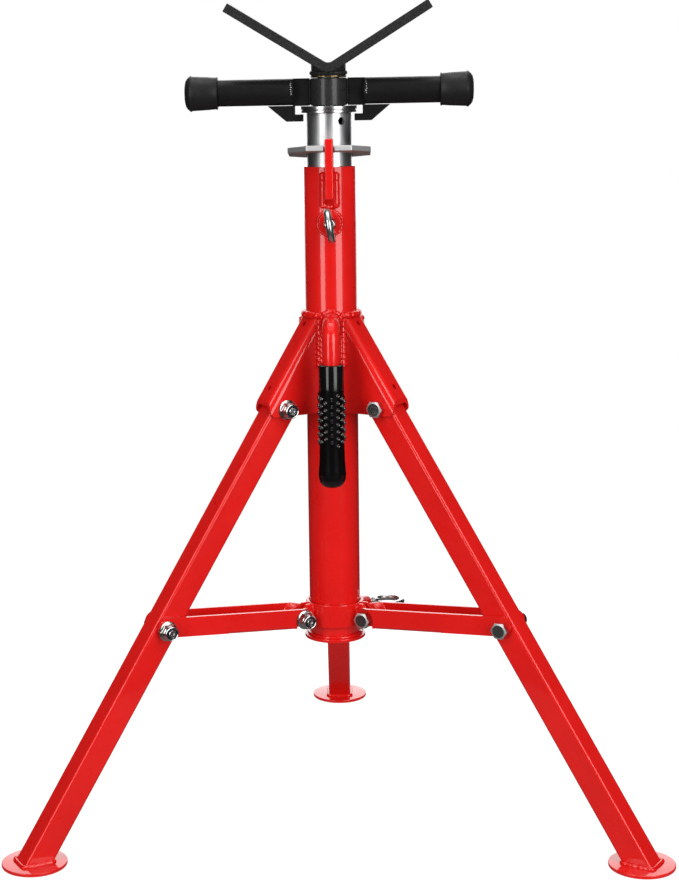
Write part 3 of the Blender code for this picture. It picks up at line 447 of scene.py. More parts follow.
def dressed(node, finish, width):
    """A copy of a node with its edges rounded."""
    shape = bmesh.new()
    shape.from_mesh(nodes[node].data)
    bmesh.ops.remove_doubles(shape, verts=shape.verts, dist=WELD_DISTANCE)
    bmesh.ops.dissolve_limit(shape, angle_limit=radians(0.4), verts=shape.verts, edges=shape.edges)
    weights = shape.edges.layers.float.new("bevel_weight_edge")
    for edge in shape.edges:
        if len(edge.link_faces) == 2 and edge.calc_face_angle(0) >= radians(32):
            edge[weights] = 1.0
    mesh = mesh_of(shape, node + "_finished")
    mesh.shade_smooth()
    made = finished(node, mesh, finish)
    rounding = made.modifiers.new("edge_rounding", "BEVEL")
    rounding.limit_method = "WEIGHT"
    rounding.width = width
    rounding.segments = 3
    rounding.use_clamp_overlap = False
    rounding.miter_outer = "MITER_ARC"
    even(made)
    return made


cutters = []


def rod_tool(radius, bottom, top, facets=128):
    """A cylinder along Z that only cuts other pieces and is never seen."""
    return linked("cutter", turned([(0, bottom), (radius, bottom), (radius, top), (0, top)], facets))


def carve(obj, tool, matrix):
    """Cuts the tool's shape out of a piece, with the tool in the given place."""
    tool.matrix_world = matrix
    made = obj.modifiers.new("cut", "BOOLEAN")
    made.operation = "DIFFERENCE"
    made.object = tool
    cutters.append((obj, tool))


def settle_cuts():
    """Applies every cut to its piece's mesh and removes the tools."""
    for obj in list(dict.fromkeys(obj for obj, _ in cutters)):
        graph = bpy.context.evaluated_depsgraph_get()
        baked = bpy.data.meshes.new_from_object(obj.evaluated_get(graph))
        obj.modifiers.clear()
        baked.set_sharp_from_angle(angle=radians(32))
        obj.data = baked
        even(obj)
    for tool in list(dict.fromkeys(tool for _, tool in cutters)):
        bpy.data.objects.remove(tool)


# Weld beads

def line(start, end, steps=40):
    start, end = Vector(start), Vector(end)
    return [start.lerp(end, i / steps) for i in range(steps + 1)]


def circle(radius, height, start=0, end=360, steps=90):
    angles = [radians(start + (end - start) * i / steps) for i in range(steps + 1)]
    return [Vector((radius * cos(a), radius * sin(a), height)) for a in angles]


def saddle(radius, height, outside, steps=72):
    """Where a round rod along -Y meets the column: a ring that follows the column's surface."""
    made = []
    for i in range(steps + 1):
        angle = 2 * pi * i / steps
        across = radius * cos(angle)
        made.append(Vector((across, -sqrt(outside ** 2 - across ** 2), height + radius * sin(angle))))
    return made


def bead_mesh(name, route, radius, ripple, seed, twist, depth, facets=12):
    """A weld bead along a route: a round section that swells and falls with each ripple."""
    rings = []
    travelled = 0.0
    closed = (route[0] - route[-1]).length < radius / 10
    count = len(route) - 1 if closed else len(route)
    for i in range(count):
        ahead = route[(i + 1) % count] if closed else route[min(i + 1, count - 1)]
        behind = route[i - 1] if closed or i else route[0]
        along = (ahead - behind).normalized()
        if i:
            travelled += (route[i] - route[i - 1]).length
        side = along.cross(Vector((0.31, 0.17, 0.93))).normalized()
        over = along.cross(side)
        wobble = noise.noise(Vector((travelled * 260, seed * 7.3, 0.5)))
        swell = 1.0 if closed else min(1.0, 0.45 + 0.55 * min(i, count - 1 - i) / 4)
        ring = []
        for j in range(facets):
            angle = 2 * pi * j / facets
            wave = abs(sin(pi * (travelled / ripple + twist * cos(angle))))
            size = radius * swell * (1 + depth * (wave ** 0.7 - 0.67) + depth * 0.53 * wobble)
            offset = side * cos(angle) * size + over * sin(angle) * size
            ring.append(route[i] + offset - along * radius * depth * 1.33 * (wave - 0.5))
        rings.append(ring)
    return skinned(name, rings, closed, 70)


def bead(name, route, radius, body, finish=None, matrix=None, ripple=0.0032, seed=0, twist=0.0, depth=0.30):
    mesh = bead_mesh(name, route, radius, ripple, seed, twist, depth)
    return piece(name, mesh, finish or red_weld, body, matrix or MAST)


def bead_pair(name, ends, x, half, bottom, top, steps, radius, body, seed, **look):
    """Upright beads on both sides of a plate that stands out along X."""
    for end, across in zip(ends, (-1, 1)):
        route = line((x, across * half, bottom), (x, across * half, top), steps)
        bead(f"{name}_{end}", route, radius, body, seed=seed + across, **look)


# Fasteners

def hex_rings(bottom, top, facets=48):
    """The low and the high ring of a hex prism whose upper corners are cut by a cone."""
    lower, upper = [], []
    for i in range(facets):
        angle = 2 * pi * i / facets
        radius = HEX_FLATS / 2 / cos(angle % radians(60) - radians(30))
        drop = max(0.0, radius - HEX_FLATS / 2 * CHAMFER_START) * CHAMFER_SLOPE
        lower.append((radius * cos(angle), radius * sin(angle), bottom))
        upper.append((radius * cos(angle), radius * sin(angle), top - drop))
    return lower, upper


def ringed(name, rings, closed=False, sharp_degrees=28):
    """A solid through rings of points along Z, turned so that it runs along +Y."""
    mesh = skinned(name, rings, closed, sharp_degrees)
    mesh.transform(ALONG_Y)
    return mesh


def bolt_end_rings(end):
    """The chamfered end of a bolt, with the mark that a lathe leaves in its middle."""
    profile = [(1, 0.0026), (0.76, 0.0018), (0.74, 0.0003), (0.68, 0), (0.34, 0), (0.24, 0.0007)]
    return [round_ring(BOLT_DIAMETER / 2 * share, end - below) for share, below in profile]


def bolt_mesh(head_face, end):
    """A hex bolt along +Y whose head's underside is at y = head_face."""
    flat = HEX_FLATS / 2
    low = head_face - HEAD_HEIGHT
    underside, outside = hex_rings(head_face - HEAD_WASHER, low)
    # The head's outer face is its low end, so the cone cut points down
    outside = [(x, y, 2 * low - z) for x, y, z in outside]
    mesh = ringed("hex_bolt", [
        round_ring(flat * 0.80, low),
        round_ring(flat * 0.81, low),
        outside,
        underside,
        round_ring(flat * 0.96, head_face - HEAD_WASHER),
        round_ring(flat * 0.96, head_face),
        round_ring(BOLT_DIAMETER / 2, head_face),
        *bolt_end_rings(end),
    ], sharp_degrees=14)
    mesh.materials.append(zinc_bolt)
    mesh.materials.append(rim_zinc_painted_highlight)
    # The second row of faces is the chamfer. It gets the rougher zinc whose lighter colour is a painted
    # highlight round the head's rim
    for face in list(mesh.polygons)[len(outside):2 * len(outside)]:
        face.material_index = 1
    return mesh


def nut_mesh(face):
    """A flanged lock nut along +Y, seated at y = face, with a recess for its insert."""
    hex_low = face + NUT_FLANGE_HEIGHT
    hex_top = face + NUT_HEIGHT - NUT_CROWN_HEIGHT
    bore = BOLT_DIAMETER / 2 + 0.0003
    crown = NUT_CROWN / 2
    lip = [(NUT_LIP * cos(radians(a)), NUT_LIP * sin(radians(a))) for a in range(0, 181, 30)]
    return ringed("lock_nut", [
        round_ring(bore, face),
        round_ring(NUT_FLANGE / 2, face),
        round_ring(NUT_FLANGE / 2, face + NUT_FLANGE_HEIGHT * 0.6),
        round_ring(HEX_FLATS / 2 * 1.13, hex_low),
        *hex_rings(hex_low, hex_top),
        round_ring(crown, hex_top),
        *[round_ring(crown - NUT_LIP + out, face + NUT_HEIGHT - NUT_LIP + up) for out, up in lip],
        round_ring(crown - NUT_LIP * 2, face + NUT_HEIGHT - 0.0014),
        round_ring(bore, face + NUT_HEIGHT - 0.0015),
    ], closed=True)


def insert_mesh(face):
    """The nylon ring in the nut's crown."""
    top = face + NUT_HEIGHT - 0.0004
    outer = NUT_CROWN / 2 - NUT_LIP * 2 - 0.0001
    inner = BOLT_DIAMETER / 2 * 0.80
    profile = [(inner, 0.0007), (outer, 0.0007), (outer, 0.0003), (inner + 0.0004, 0), (inner, 0.0002)]
    return ringed("nylon_insert", [round_ring(radius, top - below) for radius, below in profile], closed=True)


def pin_place(node, place):
    """A fastener's centre in its spoke's frame, and where it starts and ends across the spoke."""
    low, high = local_box(node, place)
    return Vector(((low.x + high.x) / 2, 0, (low.z + high.z) / 2)), low.y, high.y


def fasteners(side, place):
    """The bolts and nuts of one spoke, with detail that the frame's solids leave out."""
    for joint in ("pivot", "collar", "brace"):
        bolt, nut = f"{joint}_bolt_{side}", f"{joint}_nut_{side}"
        centre, start, end = pin_place(bolt, place)
        finished(bolt, bolt_mesh(start + HEAD_HEIGHT, end), zinc_bolt, place @ Matrix.Translation(centre))
        centre, start, end = pin_place(nut, place)
        where = place @ Matrix.Translation(centre)
        face = end - BOLT_STUB - NUT_HEIGHT if joint == "brace" else start
        finished(nut, nut_mesh(face), zinc_bolt, where)
        piece(nut + "_insert", insert_mesh(face), nylon, body_of_node[nut], where)
        if joint == "brace":
            stub = [round_ring(BOLT_DIAMETER / 2, start), *bolt_end_rings(end)]
            piece(nut + "_bolt_end", ringed("bolt_end", stub), zinc_bolt, body_of_node[nut], where)


def threaded(name, radius, depth, pitch, bottom, top, facets=32, steps=8):
    """A closed rod along Z with a helical thread that fades at both ends."""
    count = max(2, round((top - bottom) / pitch * steps))
    rings = []
    for k in range(count + 1):
        height = bottom + (top - bottom) * k / count
        fade = min(1.0, k / steps, (count - k) / steps)
        ring = []
        for i in range(facets):
            angle = 2 * pi * i / facets
            crest = min(1.0, max(0.0, 0.5 + 1.2 * cos(2 * pi * (height / pitch - i / facets))))
            at = radius - depth * (1 - crest * fade)
            ring.append((at * cos(angle), at * sin(angle), height))
        rings.append(ring)
    return skinned(name, rings, sharp_degrees=50)


# Column and mast

def tube_piece(node, finish, bore, rounding=0.0005):
    """A finely turned tube or disc that stands for a node round the mast's axis."""
    return finished(node, soft_tube(bore, *upright_rod(node), rounding, 128), finish, MAST)


tube_piece("outer_tube", red_coat, TUBE_RADIUS - TUBE_WALL)
tube_piece("stop_disc", red_coat, 0, 0.0006)
inner_radius, _, inner_top = upright_rod("inner_tube")
inner_piece = tube_piece("inner_tube", zinc_tube, inner_radius - MAST_WALL, 0.0004)
mast_hole = rod_tool(0.0035, -0.0060, 0.0060, 32)
mast_hole.data.transform(ALONG_Y)
hole_place = MAST @ spin(-56, "Z") @ shift(inner_radius, 0, inner_top - 0.0075) @ spin(90, "Z")
carve(inner_piece, mast_hole, hole_place)

flange_radius, flange_low, flange_high = upright_rod("mast_flange")
groove = (flange_low + flange_high) / 2 - 0.0004
flange_profile = soft_profile([
    (0.0145, flange_low), (flange_radius - 0.0004, flange_low), (flange_radius - 0.0004, groove - 0.0004),
    (flange_radius - 0.0012, groove - 0.0003), (flange_radius - 0.0012, groove + 0.0003),
    (flange_radius, groove + 0.0004), (flange_radius, flange_high), (0.0145, flange_high)], 0.00025)
finished("mast_flange", turned(flange_profile, 128), zinc_plate, MAST)
dressed("lock_post", red_coat, 0.0012)
dressed("lock_plate", zinc_sawn, 0.0006)
dressed("upper_clamp_boss", red_coat, 0.0008)
dressed("lower_clamp_boss", red_coat, 0.0007)
dressed("collar", red_coat, 0.0007)

stop_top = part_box("stop_disc")[1].z
bead("stop_disc_weld", circle(TUBE_RADIUS + 0.0008, stop_top + 0.0008), 0.0017, "stand", seed=1)
post_half, post_low, _ = upright_rod("lock_post")
for name, across in (("left", -1), ("right", 1)):
    x = across * (post_half + 0.0018)
    y = -sqrt(TUBE_RADIUS ** 2 - x ** 2) - 0.0004
    route = line((x, y, post_low - 0.002), (x, y, mast_high.z - 0.004), 70)
    bead(f"lock_post_weld_{name}", route, 0.0038, "stand", ripple=0.0125, seed=2 + across, depth=0.09)
route = line((-post_half, -TUBE_RADIUS - 0.0008, post_low), (post_half, -TUBE_RADIUS - 0.0008, post_low), 16)
bead("lock_post_weld_foot", route, 0.0024, "stand", seed=4)
boss_radius, boss_height = lying_rod("upper_clamp_boss")
route = saddle(boss_radius + 0.0006, boss_height, TUBE_RADIUS + 0.0004)
bead("upper_boss_weld", route, 0.0017, "stand", seed=5)

handle_low, handle_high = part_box("carry_handle")
handle_radius = (handle_high.x - handle_low.x) / 2
handle_height = handle_high.z - handle_radius
handle_y = -(handle_low.y - MAST_Y) - handle_radius
rod_route = [(0.0, handle_height, 0)]
rod_route += [(handle_y - HANDLE_BEND * (1 - sin(radians(lean))),
               handle_height - HANDLE_BEND * (1 - cos(radians(lean))), lean) for lean in range(0, 91, 5)]
rod_route += [(handle_y, handle_low.z, 90)]
rod_rings = []
for reach, height, lean in rod_route:
    place = shift(0, -reach, height) @ spin(90 + lean, "X")
    rod_rings.append([place @ Vector(point) for point in round_ring(handle_radius, 0)])
rod_piece = finished("carry_handle", skinned("carry_handle", rod_rings, sharp_degrees=60), red_coat, MAST)
carve(rod_piece, rod_tool(TUBE_RADIUS - 0.0010, handle_height - 0.05, handle_height + 0.05), MAST)
route = saddle(handle_radius + 0.0008, handle_height, TUBE_RADIUS + 0.0006)
bead("carry_handle_weld", route, 0.0026, "stand", ripple=0.0046, seed=6)


# Brackets, legs, feet and braces

slope = Vector((sin(LEG_TILT), 0, -cos(LEG_TILT)))
outward = Vector((cos(LEG_TILT), 0, sin(LEG_TILT)))


def corner_arc(centre, radius, start, end, steps=6):
    angles = [radians(start + (end - start) * i / steps) for i in range(steps + 1)]
    return [(centre[0] + radius * cos(a), centre[1] + radius * sin(a)) for a in angles]


def round_corners(half_x, half_y, radius, steps=6):
    """The four rounded corners of a rectangle, one arc for each."""
    return [corner_arc((sx * (half_x - radius), sy * (half_y - radius)), radius, 90 * i, 90 * i + 90, steps)
            for i, (sx, sy) in enumerate(((1, 1), (-1, 1), (-1, -1), (1, -1)))]


def trimmed(shape, point, normal):
    """Cuts away what lies beyond a plane and closes the cut."""
    geometry = shape.verts[:] + shape.edges[:] + shape.faces[:]
    cut = bmesh.ops.bisect_plane(shape, geom=geometry, dist=WELD_DISTANCE, plane_co=point, plane_no=normal,
                                 clear_outer=True)
    rim = [item for item in cut["geom_cut"] if isinstance(item, bmesh.types.BMEdge)]
    bmesh.ops.contextual_create(shape, geom=rim)


def bracket_piece(side, place):
    """A channel folded from plate, with its web on the leg's slope and its flanks on the column."""
    node = f"leg_bracket_{side}"
    low, high = local_box(node, place)
    back = max(point.dot(outward) for point in points_of(node, place))
    half = high.y
    inner = half - BRACKET_PLATE
    inner_bend = BRACKET_BEND - BRACKET_PLATE
    left, right = (BRACKET_BEND - half, -BRACKET_BEND), (half - BRACKET_BEND, -BRACKET_BEND)
    profile = [(-half, -BRACKET_DEPTH), *corner_arc(left, BRACKET_BEND, 180, 90),
               *corner_arc(right, BRACKET_BEND, 90, 0), (half, -BRACKET_DEPTH),
               (inner, -BRACKET_DEPTH), *corner_arc(right, inner_bend, 0, 90, 3),
               *corner_arc(left, inner_bend, 90, 180, 3), (-inner, -BRACKET_DEPTH)]
    shape = bmesh.new()
    start_along = Vector((high.x, 0, low.z)).dot(slope) + BRACKET_DEPTH
    ends = [[shape.verts.new(slope * along + outward * (back + n) + Vector((0, y, 0))) for y, n in profile]
            for along in (start_along - 4 * BRACKET_DEPTH, start_along)]
    bridge(shape, ends)
    trimmed(shape, (0, 0, high.z), (0, 0, 1))
    trimmed(shape, (0, 0, low.z), (0, 0, -1))
    trimmed(shape, (high.x, 0, 0), (1, 0, 0))
    trimmed(shape, (TUBE_RADIUS * 0.6, 0, 0), (-1, 0, 0))
    corner = Vector((high.x - BRACKET_CORNER, 0, low.z + BRACKET_CORNER))
    for lean in (15, 30, 45, 60, 75):
        direction = Vector((sin(radians(lean)), 0, -cos(radians(lean))))
        trimmed(shape, corner + direction * BRACKET_CORNER, direction)
    bmesh.ops.remove_doubles(shape, verts=shape.verts, dist=WELD_DISTANCE)
    made = finished(node, smooth(mesh_of(shape, node), 30), red_coat, place)
    round_edges(made, 0.0005, 2, 38)
    carve(made, rod_tool(TUBE_RADIUS + 0.0001, low.z - 0.01, high.z + 0.01), place)
    top_x = back / cos(LEG_TILT) - high.z * tan(LEG_TILT)
    reach = (high.x - top_x) / sin(LEG_TILT)
    for share in BRACKET_HOLE_SHARES:
        spot = Matrix.Translation(Vector((top_x, 0, high.z)) + slope * reach * share)
        facing = outward.to_track_quat("Z", "Y").to_matrix().to_4x4()
        carve(made, rod_tool(BRACKET_HOLE, -0.006, 0.004, 32), place @ spot @ facing)


def leg_piece(side, place):
    """A square tube with round corners, cut level above its foot."""
    node = f"leg_{side}"
    pivot, _, _ = pin_place(f"pivot_bolt_{side}", place)
    foot_top = local_box(f"foot_{side}", place)[1].z
    top = max(-(point - pivot).dot(slope) for point in points_of(node, place))
    walls = []
    for grow in (0, -LEG_WALL):
        half = LEG_SIZE / 2 + grow
        section = [point for arc in round_corners(half, half, LEG_CORNER + grow, 7) for point in arc]
        bases = [pivot + outward * x + Vector((0, y, 0)) for x, y in section]
        walls.append([base - slope * top for base in bases])
        walls.append([base + slope * ((base.z - foot_top) / cos(LEG_TILT)) for base in bases])
    upper, lower, bore_upper, bore_lower = walls
    mesh = skinned(node, [upper, lower, bore_lower, bore_upper], closed=True, sharp_degrees=40)
    even(finished(node, mesh, red_coat, place))


def dimple_share(x, z):
    """0 on the flat round the collar's pin, 1 on the brace's full width."""
    distance = hypot(x, z) if x > 0 else abs(z) * max(0, 1 + x / DIMPLE_END)
    share = min(1, max(0, (distance - DIMPLE_FLAT) / DIMPLE_WALL))
    return share * share * (3 - 2 * share)


def brace_section(x, sizes):
    """One cross-section of a brace: its flanks' outer and inner points from the top down, and its web's."""
    past = -x if x < 0 else max(0, x - sizes["span"])
    rise = sqrt(sizes["radius"] ** 2 - min(past, sizes["radius"]) ** 2)
    webbed = BRACE_WEB_START <= x <= sizes["span"] - BRACE_WEB_CUT
    bottom = sizes["middle"] - rise + (BRACE_BEND if webbed else BRACE_EDGE_LIFT)
    top = sizes["middle"] + rise
    outer, inner, web, web_inner = [], [], [], []
    for i in range(BRACE_ROWS + 1):
        z = top + (bottom - top) * i / BRACE_ROWS
        y = sizes["narrow"] + (sizes["full"] - sizes["narrow"]) * dimple_share(x, z)
        outer.append((y, z))
        inner.append((y - BRACE_SHEET, z))
    if webbed:
        centre = (sizes["full"] - BRACE_BEND, sizes["low"] + BRACE_BEND)
        web = corner_arc(centre, BRACE_BEND, -18, -90, 4)
        web_inner = corner_arc(centre, BRACE_BEND - BRACE_SHEET, -18, -90, 4)
    return outer, inner, web, web_inner


def brace_piece(side, place):
    """A folded channel with round ends and a pressed dimple at its collar end."""
    node = f"brace_{side}"
    start, low_y, _ = pin_place(f"collar_bolt_{side}", place)
    goal, _, _ = pin_place(f"brace_bolt_{side}", place)
    lean = atan2(goal.z - start.z, goal.x - start.x)
    upright = Matrix.Rotation(lean, 3, "Y")
    heights = [(upright @ (point - start)).z for point in points_of(node, place)]
    low, high = min(heights), max(heights)
    span = (goal - start).length
    radius = (high - low) / 2
    sizes = {"span": span, "low": low, "middle": (low + high) / 2, "radius": radius,
             "full": local_box(node, place)[1].y, "narrow": abs(low_y + HEAD_HEIGHT + 0.0003)}
    web_end = span - BRACE_WEB_CUT
    stations = [-radius * cos(radians(a)) for a in range(8, 91, 6)]
    stations += [0.0005 * i for i in range(1, 30)]
    stations += [BRACE_WEB_START - 0.00005, BRACE_WEB_START, BRACE_WEB_START + 0.01]
    stations += [web_end - 0.01, web_end, web_end + 0.00005, span - 0.012]
    stations += [span + radius * sin(radians(a)) for a in range(0, 84, 6)]
    shape = bmesh.new()
    sections = []
    for x in stations:
        parts = brace_section(x, sizes)
        sections.append([[[shape.verts.new((x, sign * y, z)) for y, z in part] for part in parts]
                         for sign in (1, -1)])

    def strip(first, second):
        for corners in zip(first, first[1:], second[1:], second):
            shape.faces.new(corners)

    for section, following in zip(sections, sections[1:]):
        for (outer, inner, web, _), (outer_2, inner_2, web_2, _) in zip(section, following):
            strip(outer, outer_2)
            strip(inner, inner_2)
            strip([outer[0], inner[0]], [outer_2[0], inner_2[0]])
            if not (web and web_2):
                strip([outer[-1], inner[-1]], [outer_2[-1], inner_2[-1]])
        profiles = []
        for (outer, inner, web, web_inner), (outer_m, inner_m, web_m, web_inner_m) in (section, following):
            profiles.append(([outer[-1], *web, *reversed(web_m), outer_m[-1]],
                             [inner[-1], *web_inner, *reversed(web_inner_m), inner_m[-1]]))
        (under, over), (under_2, over_2) = profiles
        if len(under) == len(under_2) and len(under) > 2:
            strip(under, under_2)
            strip(over, over_2)
        elif len(under) != len(under_2):
            longer = max(profiles, key=lambda profile: len(profile[0]))
            shape.faces.new(longer[0] + longer[1][::-1])
    for section in (sections[0], sections[-1]):
        for outer, inner, _, _ in section:
            strip(outer, inner)
    lying = place @ Matrix.Translation(start) @ Matrix.Rotation(-lean, 4, "Y")
    made = finished(node, smooth(mesh_of(shape, node), 50), red_coat, lying)
    round_edges(made, 0.0005, 2, 60)
    even(made)


def foot_piece(side, place):
    """A round plate, and the weld that follows the leg's square end on it."""
    node = f"foot_{side}"
    low, high = local_box(node, place)
    centre = (low.x + high.x) / 2
    plate = soft_tube(0, (high.y - low.y) / 2, 0, high.z, 0.0007, 96)
    finished(node, plate, red_coat, place @ shift(centre, 0, 0))
    arcs = round_corners(LEG_SIZE / 2 / cos(LEG_TILT) + 0.0006, LEG_SIZE / 2 + 0.0006, FOOT_WELD_CORNER)
    route = []
    for arc, following in zip(arcs, arcs[1:] + arcs[:1]):
        *points, goal = [Vector((centre + x, y, high.z + 0.0006)) for x, y in arc + following[:1]]
        route += points + line(points[-1], goal, 14)[1:-1]
    route.append(route[0].copy())
    bead(f"foot_weld_{side}", route, 0.0020, f"leg_{side}", matrix=place, ripple=0.0050, seed=SIDES[side] + 5)


def spoke_welds(side, place):
    """The bracket's welds down both its flanks and over its top, and the welds of the collar's ears."""
    seed = SIDES[side]
    low, high = local_box(f"leg_bracket_{side}", place)
    half = high.y
    reach = sqrt(TUBE_RADIUS ** 2 - half ** 2)
    bead_pair(f"bracket_weld_{side}", "ab", reach + 0.0032, half + 0.0012, low.z + BRACKET_WELD_START,
              high.z - 0.002, 190, 0.0034, "stand", seed, matrix=place, ripple=0.0050, twist=0.45)
    top_turn = degrees(asin(half / TUBE_RADIUS))
    route = circle(TUBE_RADIUS + 0.0008, high.z + 0.0006, -top_turn, top_turn, 50)
    bead(f"bracket_weld_{side}_top", route, 0.0034, "stand", matrix=place, ripple=0.0058, seed=seed + 3,
         twist=0.3)
    collar_low, collar_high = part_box("collar")
    reach = sqrt(COLLAR_RADIUS ** 2 - EAR_HALF ** 2)
    bead_pair(f"ear_weld_{side}", "ab", reach + 0.0004, EAR_HALF + 0.0005, collar_low.z + 0.002,
              collar_high.z - 0.002, 40, 0.0011, "collar", seed + 7, matrix=place, ripple=0.0026)


for side in SIDES:
    place = spoke(side)
    bracket_piece(side, place)
    leg_piece(side, place)
    brace_piece(side, place)
    foot_piece(side, place)
    fasteners(side, place)
    spoke_welds(side, place)


# Eye bolts

def eye_bolt(node, azimuth_degrees, height, roll_degrees):
    """A forged ring on a threaded shank that points away from the column."""
    place = MAST @ spin(azimuth_degrees, "Z") @ shift(0, 0, height)
    low, high = local_box(node, place)
    wire = EYE_WIRE / 2
    ring_radius = (EYE_RING - EYE_WIRE) / 2
    ring_centre = -low.y - wire - ring_radius
    neck = ring_centre - ring_radius - wire
    lying = place @ spin(roll_degrees, "Y")
    section = [Vector((x, 0, ring_radius + y)) for x, y in
               ((wire * sin(2 * pi * j / 20), wire * cos(2 * pi * j / 20)) for j in range(20))]
    turns = [Matrix.Rotation(2 * pi * i / 64, 3, "X") for i in range(64)]
    rings = [[around @ point + Vector((0, -ring_centre, 0)) for point in section] for around in turns]
    ring = skinned(node + "_ring", rings, closed=True, sharp_degrees=60)
    piece(node + "_ring", ring, zinc_eye, body_of_node[node], lying, (node,))
    shoulder = turned(soft_profile([
        (0, neck - 0.0004), (0.0056, neck - 0.0004), (0.0056, neck + 0.0010), (0.0046, neck + 0.0052),
        (0, neck + 0.0056)], 0.0008), 40)
    shank = threaded(node + "_thread", EYE_SHANK / 2, 0.0009, CLAMP_PITCH, -high.y, neck, 28, 6)
    for name, mesh in (("shoulder", shoulder), ("shank", shank)):
        mesh.transform(spin(90, "X"))
        piece(f"{node}_{name}", mesh, zinc_bolt, body_of_node[node], lying)


eye_bolt("upper_eye_bolt", 0, boss_height, -9)
lower_height = lying_rod("lower_clamp_boss")[1]
eye_bolt("lower_eye_bolt", 120, lower_height, 90)
bead("lower_boss_weld", saddle(LOWER_BOSS_RADIUS, lower_height, COLLAR_RADIUS + 0.0004), 0.0013, "collar",
     matrix=MAST @ spin(120, "Z"), seed=9)


# Jack nut, hooks, handles and caps

nut_radius, nut_low, nut_high = upright_rod("jack_nut")
finished("jack_nut", soft_tube(SCREW_BORE, nut_radius, nut_low, nut_high, 0.0008, 96), nut_enamel, MAST)


def paint_chips(side, across, bar_radius, start, lying):
    """Chips in the paint at the handle's weld, on the front."""
    chips = bmesh.new()
    for chip in range(7):
        turn = radians(-across * (82 + 58 * chip / 6))
        size = 0.0005 + 0.0006 * abs(noise.noise(Vector((chip * 3.1, across * 5.3, 0.7))))
        spot = Vector((bar_radius * cos(turn), bar_radius * sin(turn),
                       start + 0.0016 + 0.0012 * noise.noise(Vector((chip * 2.3, across * 1.9, 0.2)))))
        out = Vector((cos(turn), sin(turn), 0))
        around = Vector((-out.y, out.x, 0))
        rim = []
        for i in range(9):
            angle = 2 * pi * i / 9
            reach = size * (1 + 0.9 * noise.noise(Vector((i * 1.7, chip * 2.9, across))))
            rim.append(spot + around * cos(angle) * reach + Vector((0, 0, 1)) * sin(angle) * reach)
        bridge(chips, [[chips.verts.new(point + out * lift) for point in rim] for lift in (0.00012, -0.0003)])
    piece(f"paint_chips_{side}", mesh_of(chips, f"paint_chips_{side}"), bare_steel, "jack_nut", lying)


for side, across in (("left", -1), ("right", 1)):
    dressed(f"hook_plate_{side}", black_satin, 0.0006)
    bar, cap = f"handle_tube_{side}", f"handle_cap_{side}"
    bar_radius, bar_height = lying_rod(bar)
    start, end = sorted(abs(corner.x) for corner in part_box(bar))
    lying = MAST @ shift(0, 0, bar_height) @ spin(0 if across > 0 else 180, "Z") @ spin(90, "Y")
    finished(bar, soft_tube(bar_radius - 0.0025, bar_radius, start, end, 0.0006, 72), black_satin, lying)
    cap_start, cap_end = sorted(abs(corner.x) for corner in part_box(cap))
    cap_radius = lying_rod(cap)[0]
    inner = cap_radius - 0.0020
    mouth = (inner + 0.0004, cap_start)
    # The cap's rounded end: how far in from its radius, and how far before its end
    crown = [(0.0008, 0.0072), (0.0004, 0.0060), (0, 0.0054), (0.0001, 0.0050), (0.0009, 0.0042),
             (0.0022, 0.0026), (0.0045, 0.0010), (0.0080, 0.0002)]
    cap_profile = [
        (bar_radius + 0.0002, cap_start + 0.0002),
        *rounded(mouth, 0.0007, (bar_radius, cap_start), (mouth[0], cap_start + 0.01)),
        (mouth[0], cap_start + 0.0012),
        (inner, cap_start + 0.0019),
        (inner + 0.0006, cap_start + 0.0100),
        *[(cap_radius - less, cap_end - before) for less, before in crown],
        (0, cap_end),
        (0, end + 0.0003),
        (bar_radius + 0.0002, end + 0.0003),
    ]
    finished(cap, turned(cap_profile, 72), cap_rubber, lying)
    bead(f"handle_weld_{side}", circle(bar_radius - 0.0008, start + 0.0002), 0.0011, "jack_nut", black_satin,
         matrix=lying, seed=11 + across, depth=0.15)
    hook_low, hook_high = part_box(f"hook_plate_{side}")
    hook_half = (hook_high.y - hook_low.y) / 2
    bead_pair(f"hook_weld_{side}", ("front", "back"), across * (nut_radius + 0.0002), hook_half + 0.0003,
              nut_low + 0.001, nut_high - 0.001, 44, 0.0013, "jack_nut", 13 + across, finish=black_satin,
              ripple=0.003)
    paint_chips(side, across, bar_radius, start, lying)


# Head: V plate, neck weld and the threaded screw

dressed("v_head", hammertone, 0.0007)
neck_radius, screw_low, screw_high = upright_rod("jack_screw")
neck_bottom = nut_high + 0.0003


def neck_piece():
    """The screw's plain neck, filled up to the V's underside."""
    v_points = [vertex.co for vertex in nodes["v_head"].data.vertices]
    v_low = min(point.z for point in v_points)
    v_edge = 0.9 * max(point.x for point in v_points)
    v_tip = min((point for point in v_points if point.x > v_edge), key=lambda point: point.z)
    v_rise = (v_tip.z - v_low) / v_tip.x
    shape = bmesh.new()
    base = [shape.verts.new(point) for point in round_ring(neck_radius, neck_bottom, NECK_FACETS)]
    top = [shape.verts.new((x, y, v_low + 0.0004 + max(0, abs(x) - NECK_ROUND) * v_rise))
           for x, y, _ in round_ring(neck_radius, neck_bottom, NECK_FACETS)]
    for i in range(NECK_FACETS):
        following = (i + 1) % NECK_FACETS
        shape.faces.new((base[i], base[following], top[following], top[i]))
    shape.faces.new(base)
    for i in range(NECK_FACETS // 2):
        shape.faces.new(list(dict.fromkeys([top[i], top[i + 1], top[-i - 1], top[-i]])))
    piece("jack_screw_neck", smooth(mesh_of(shape, "jack_screw_neck")), hammertone, "head", MAST)


neck_piece()
screw = threaded("jack_screw_thread", SCREW_RADIUS, 0.0020, SCREW_PITCH, screw_low, neck_bottom + 0.0004)
piece("jack_screw_thread", screw, zinc_tube, "head", MAST, ("jack_screw",))
bead("neck_weld", circle(neck_radius - 0.0004, screw_high - 0.0006), 0.0020, "head", hammertone, seed=21)
bead("neck_gold_ring", circle(neck_radius - 0.0004, neck_bottom + 0.0011), 0.0010, "head", gold_neck,
     ripple=0.006, seed=22)


# Grip: a glossy sleeve with raised rings in staggered columns

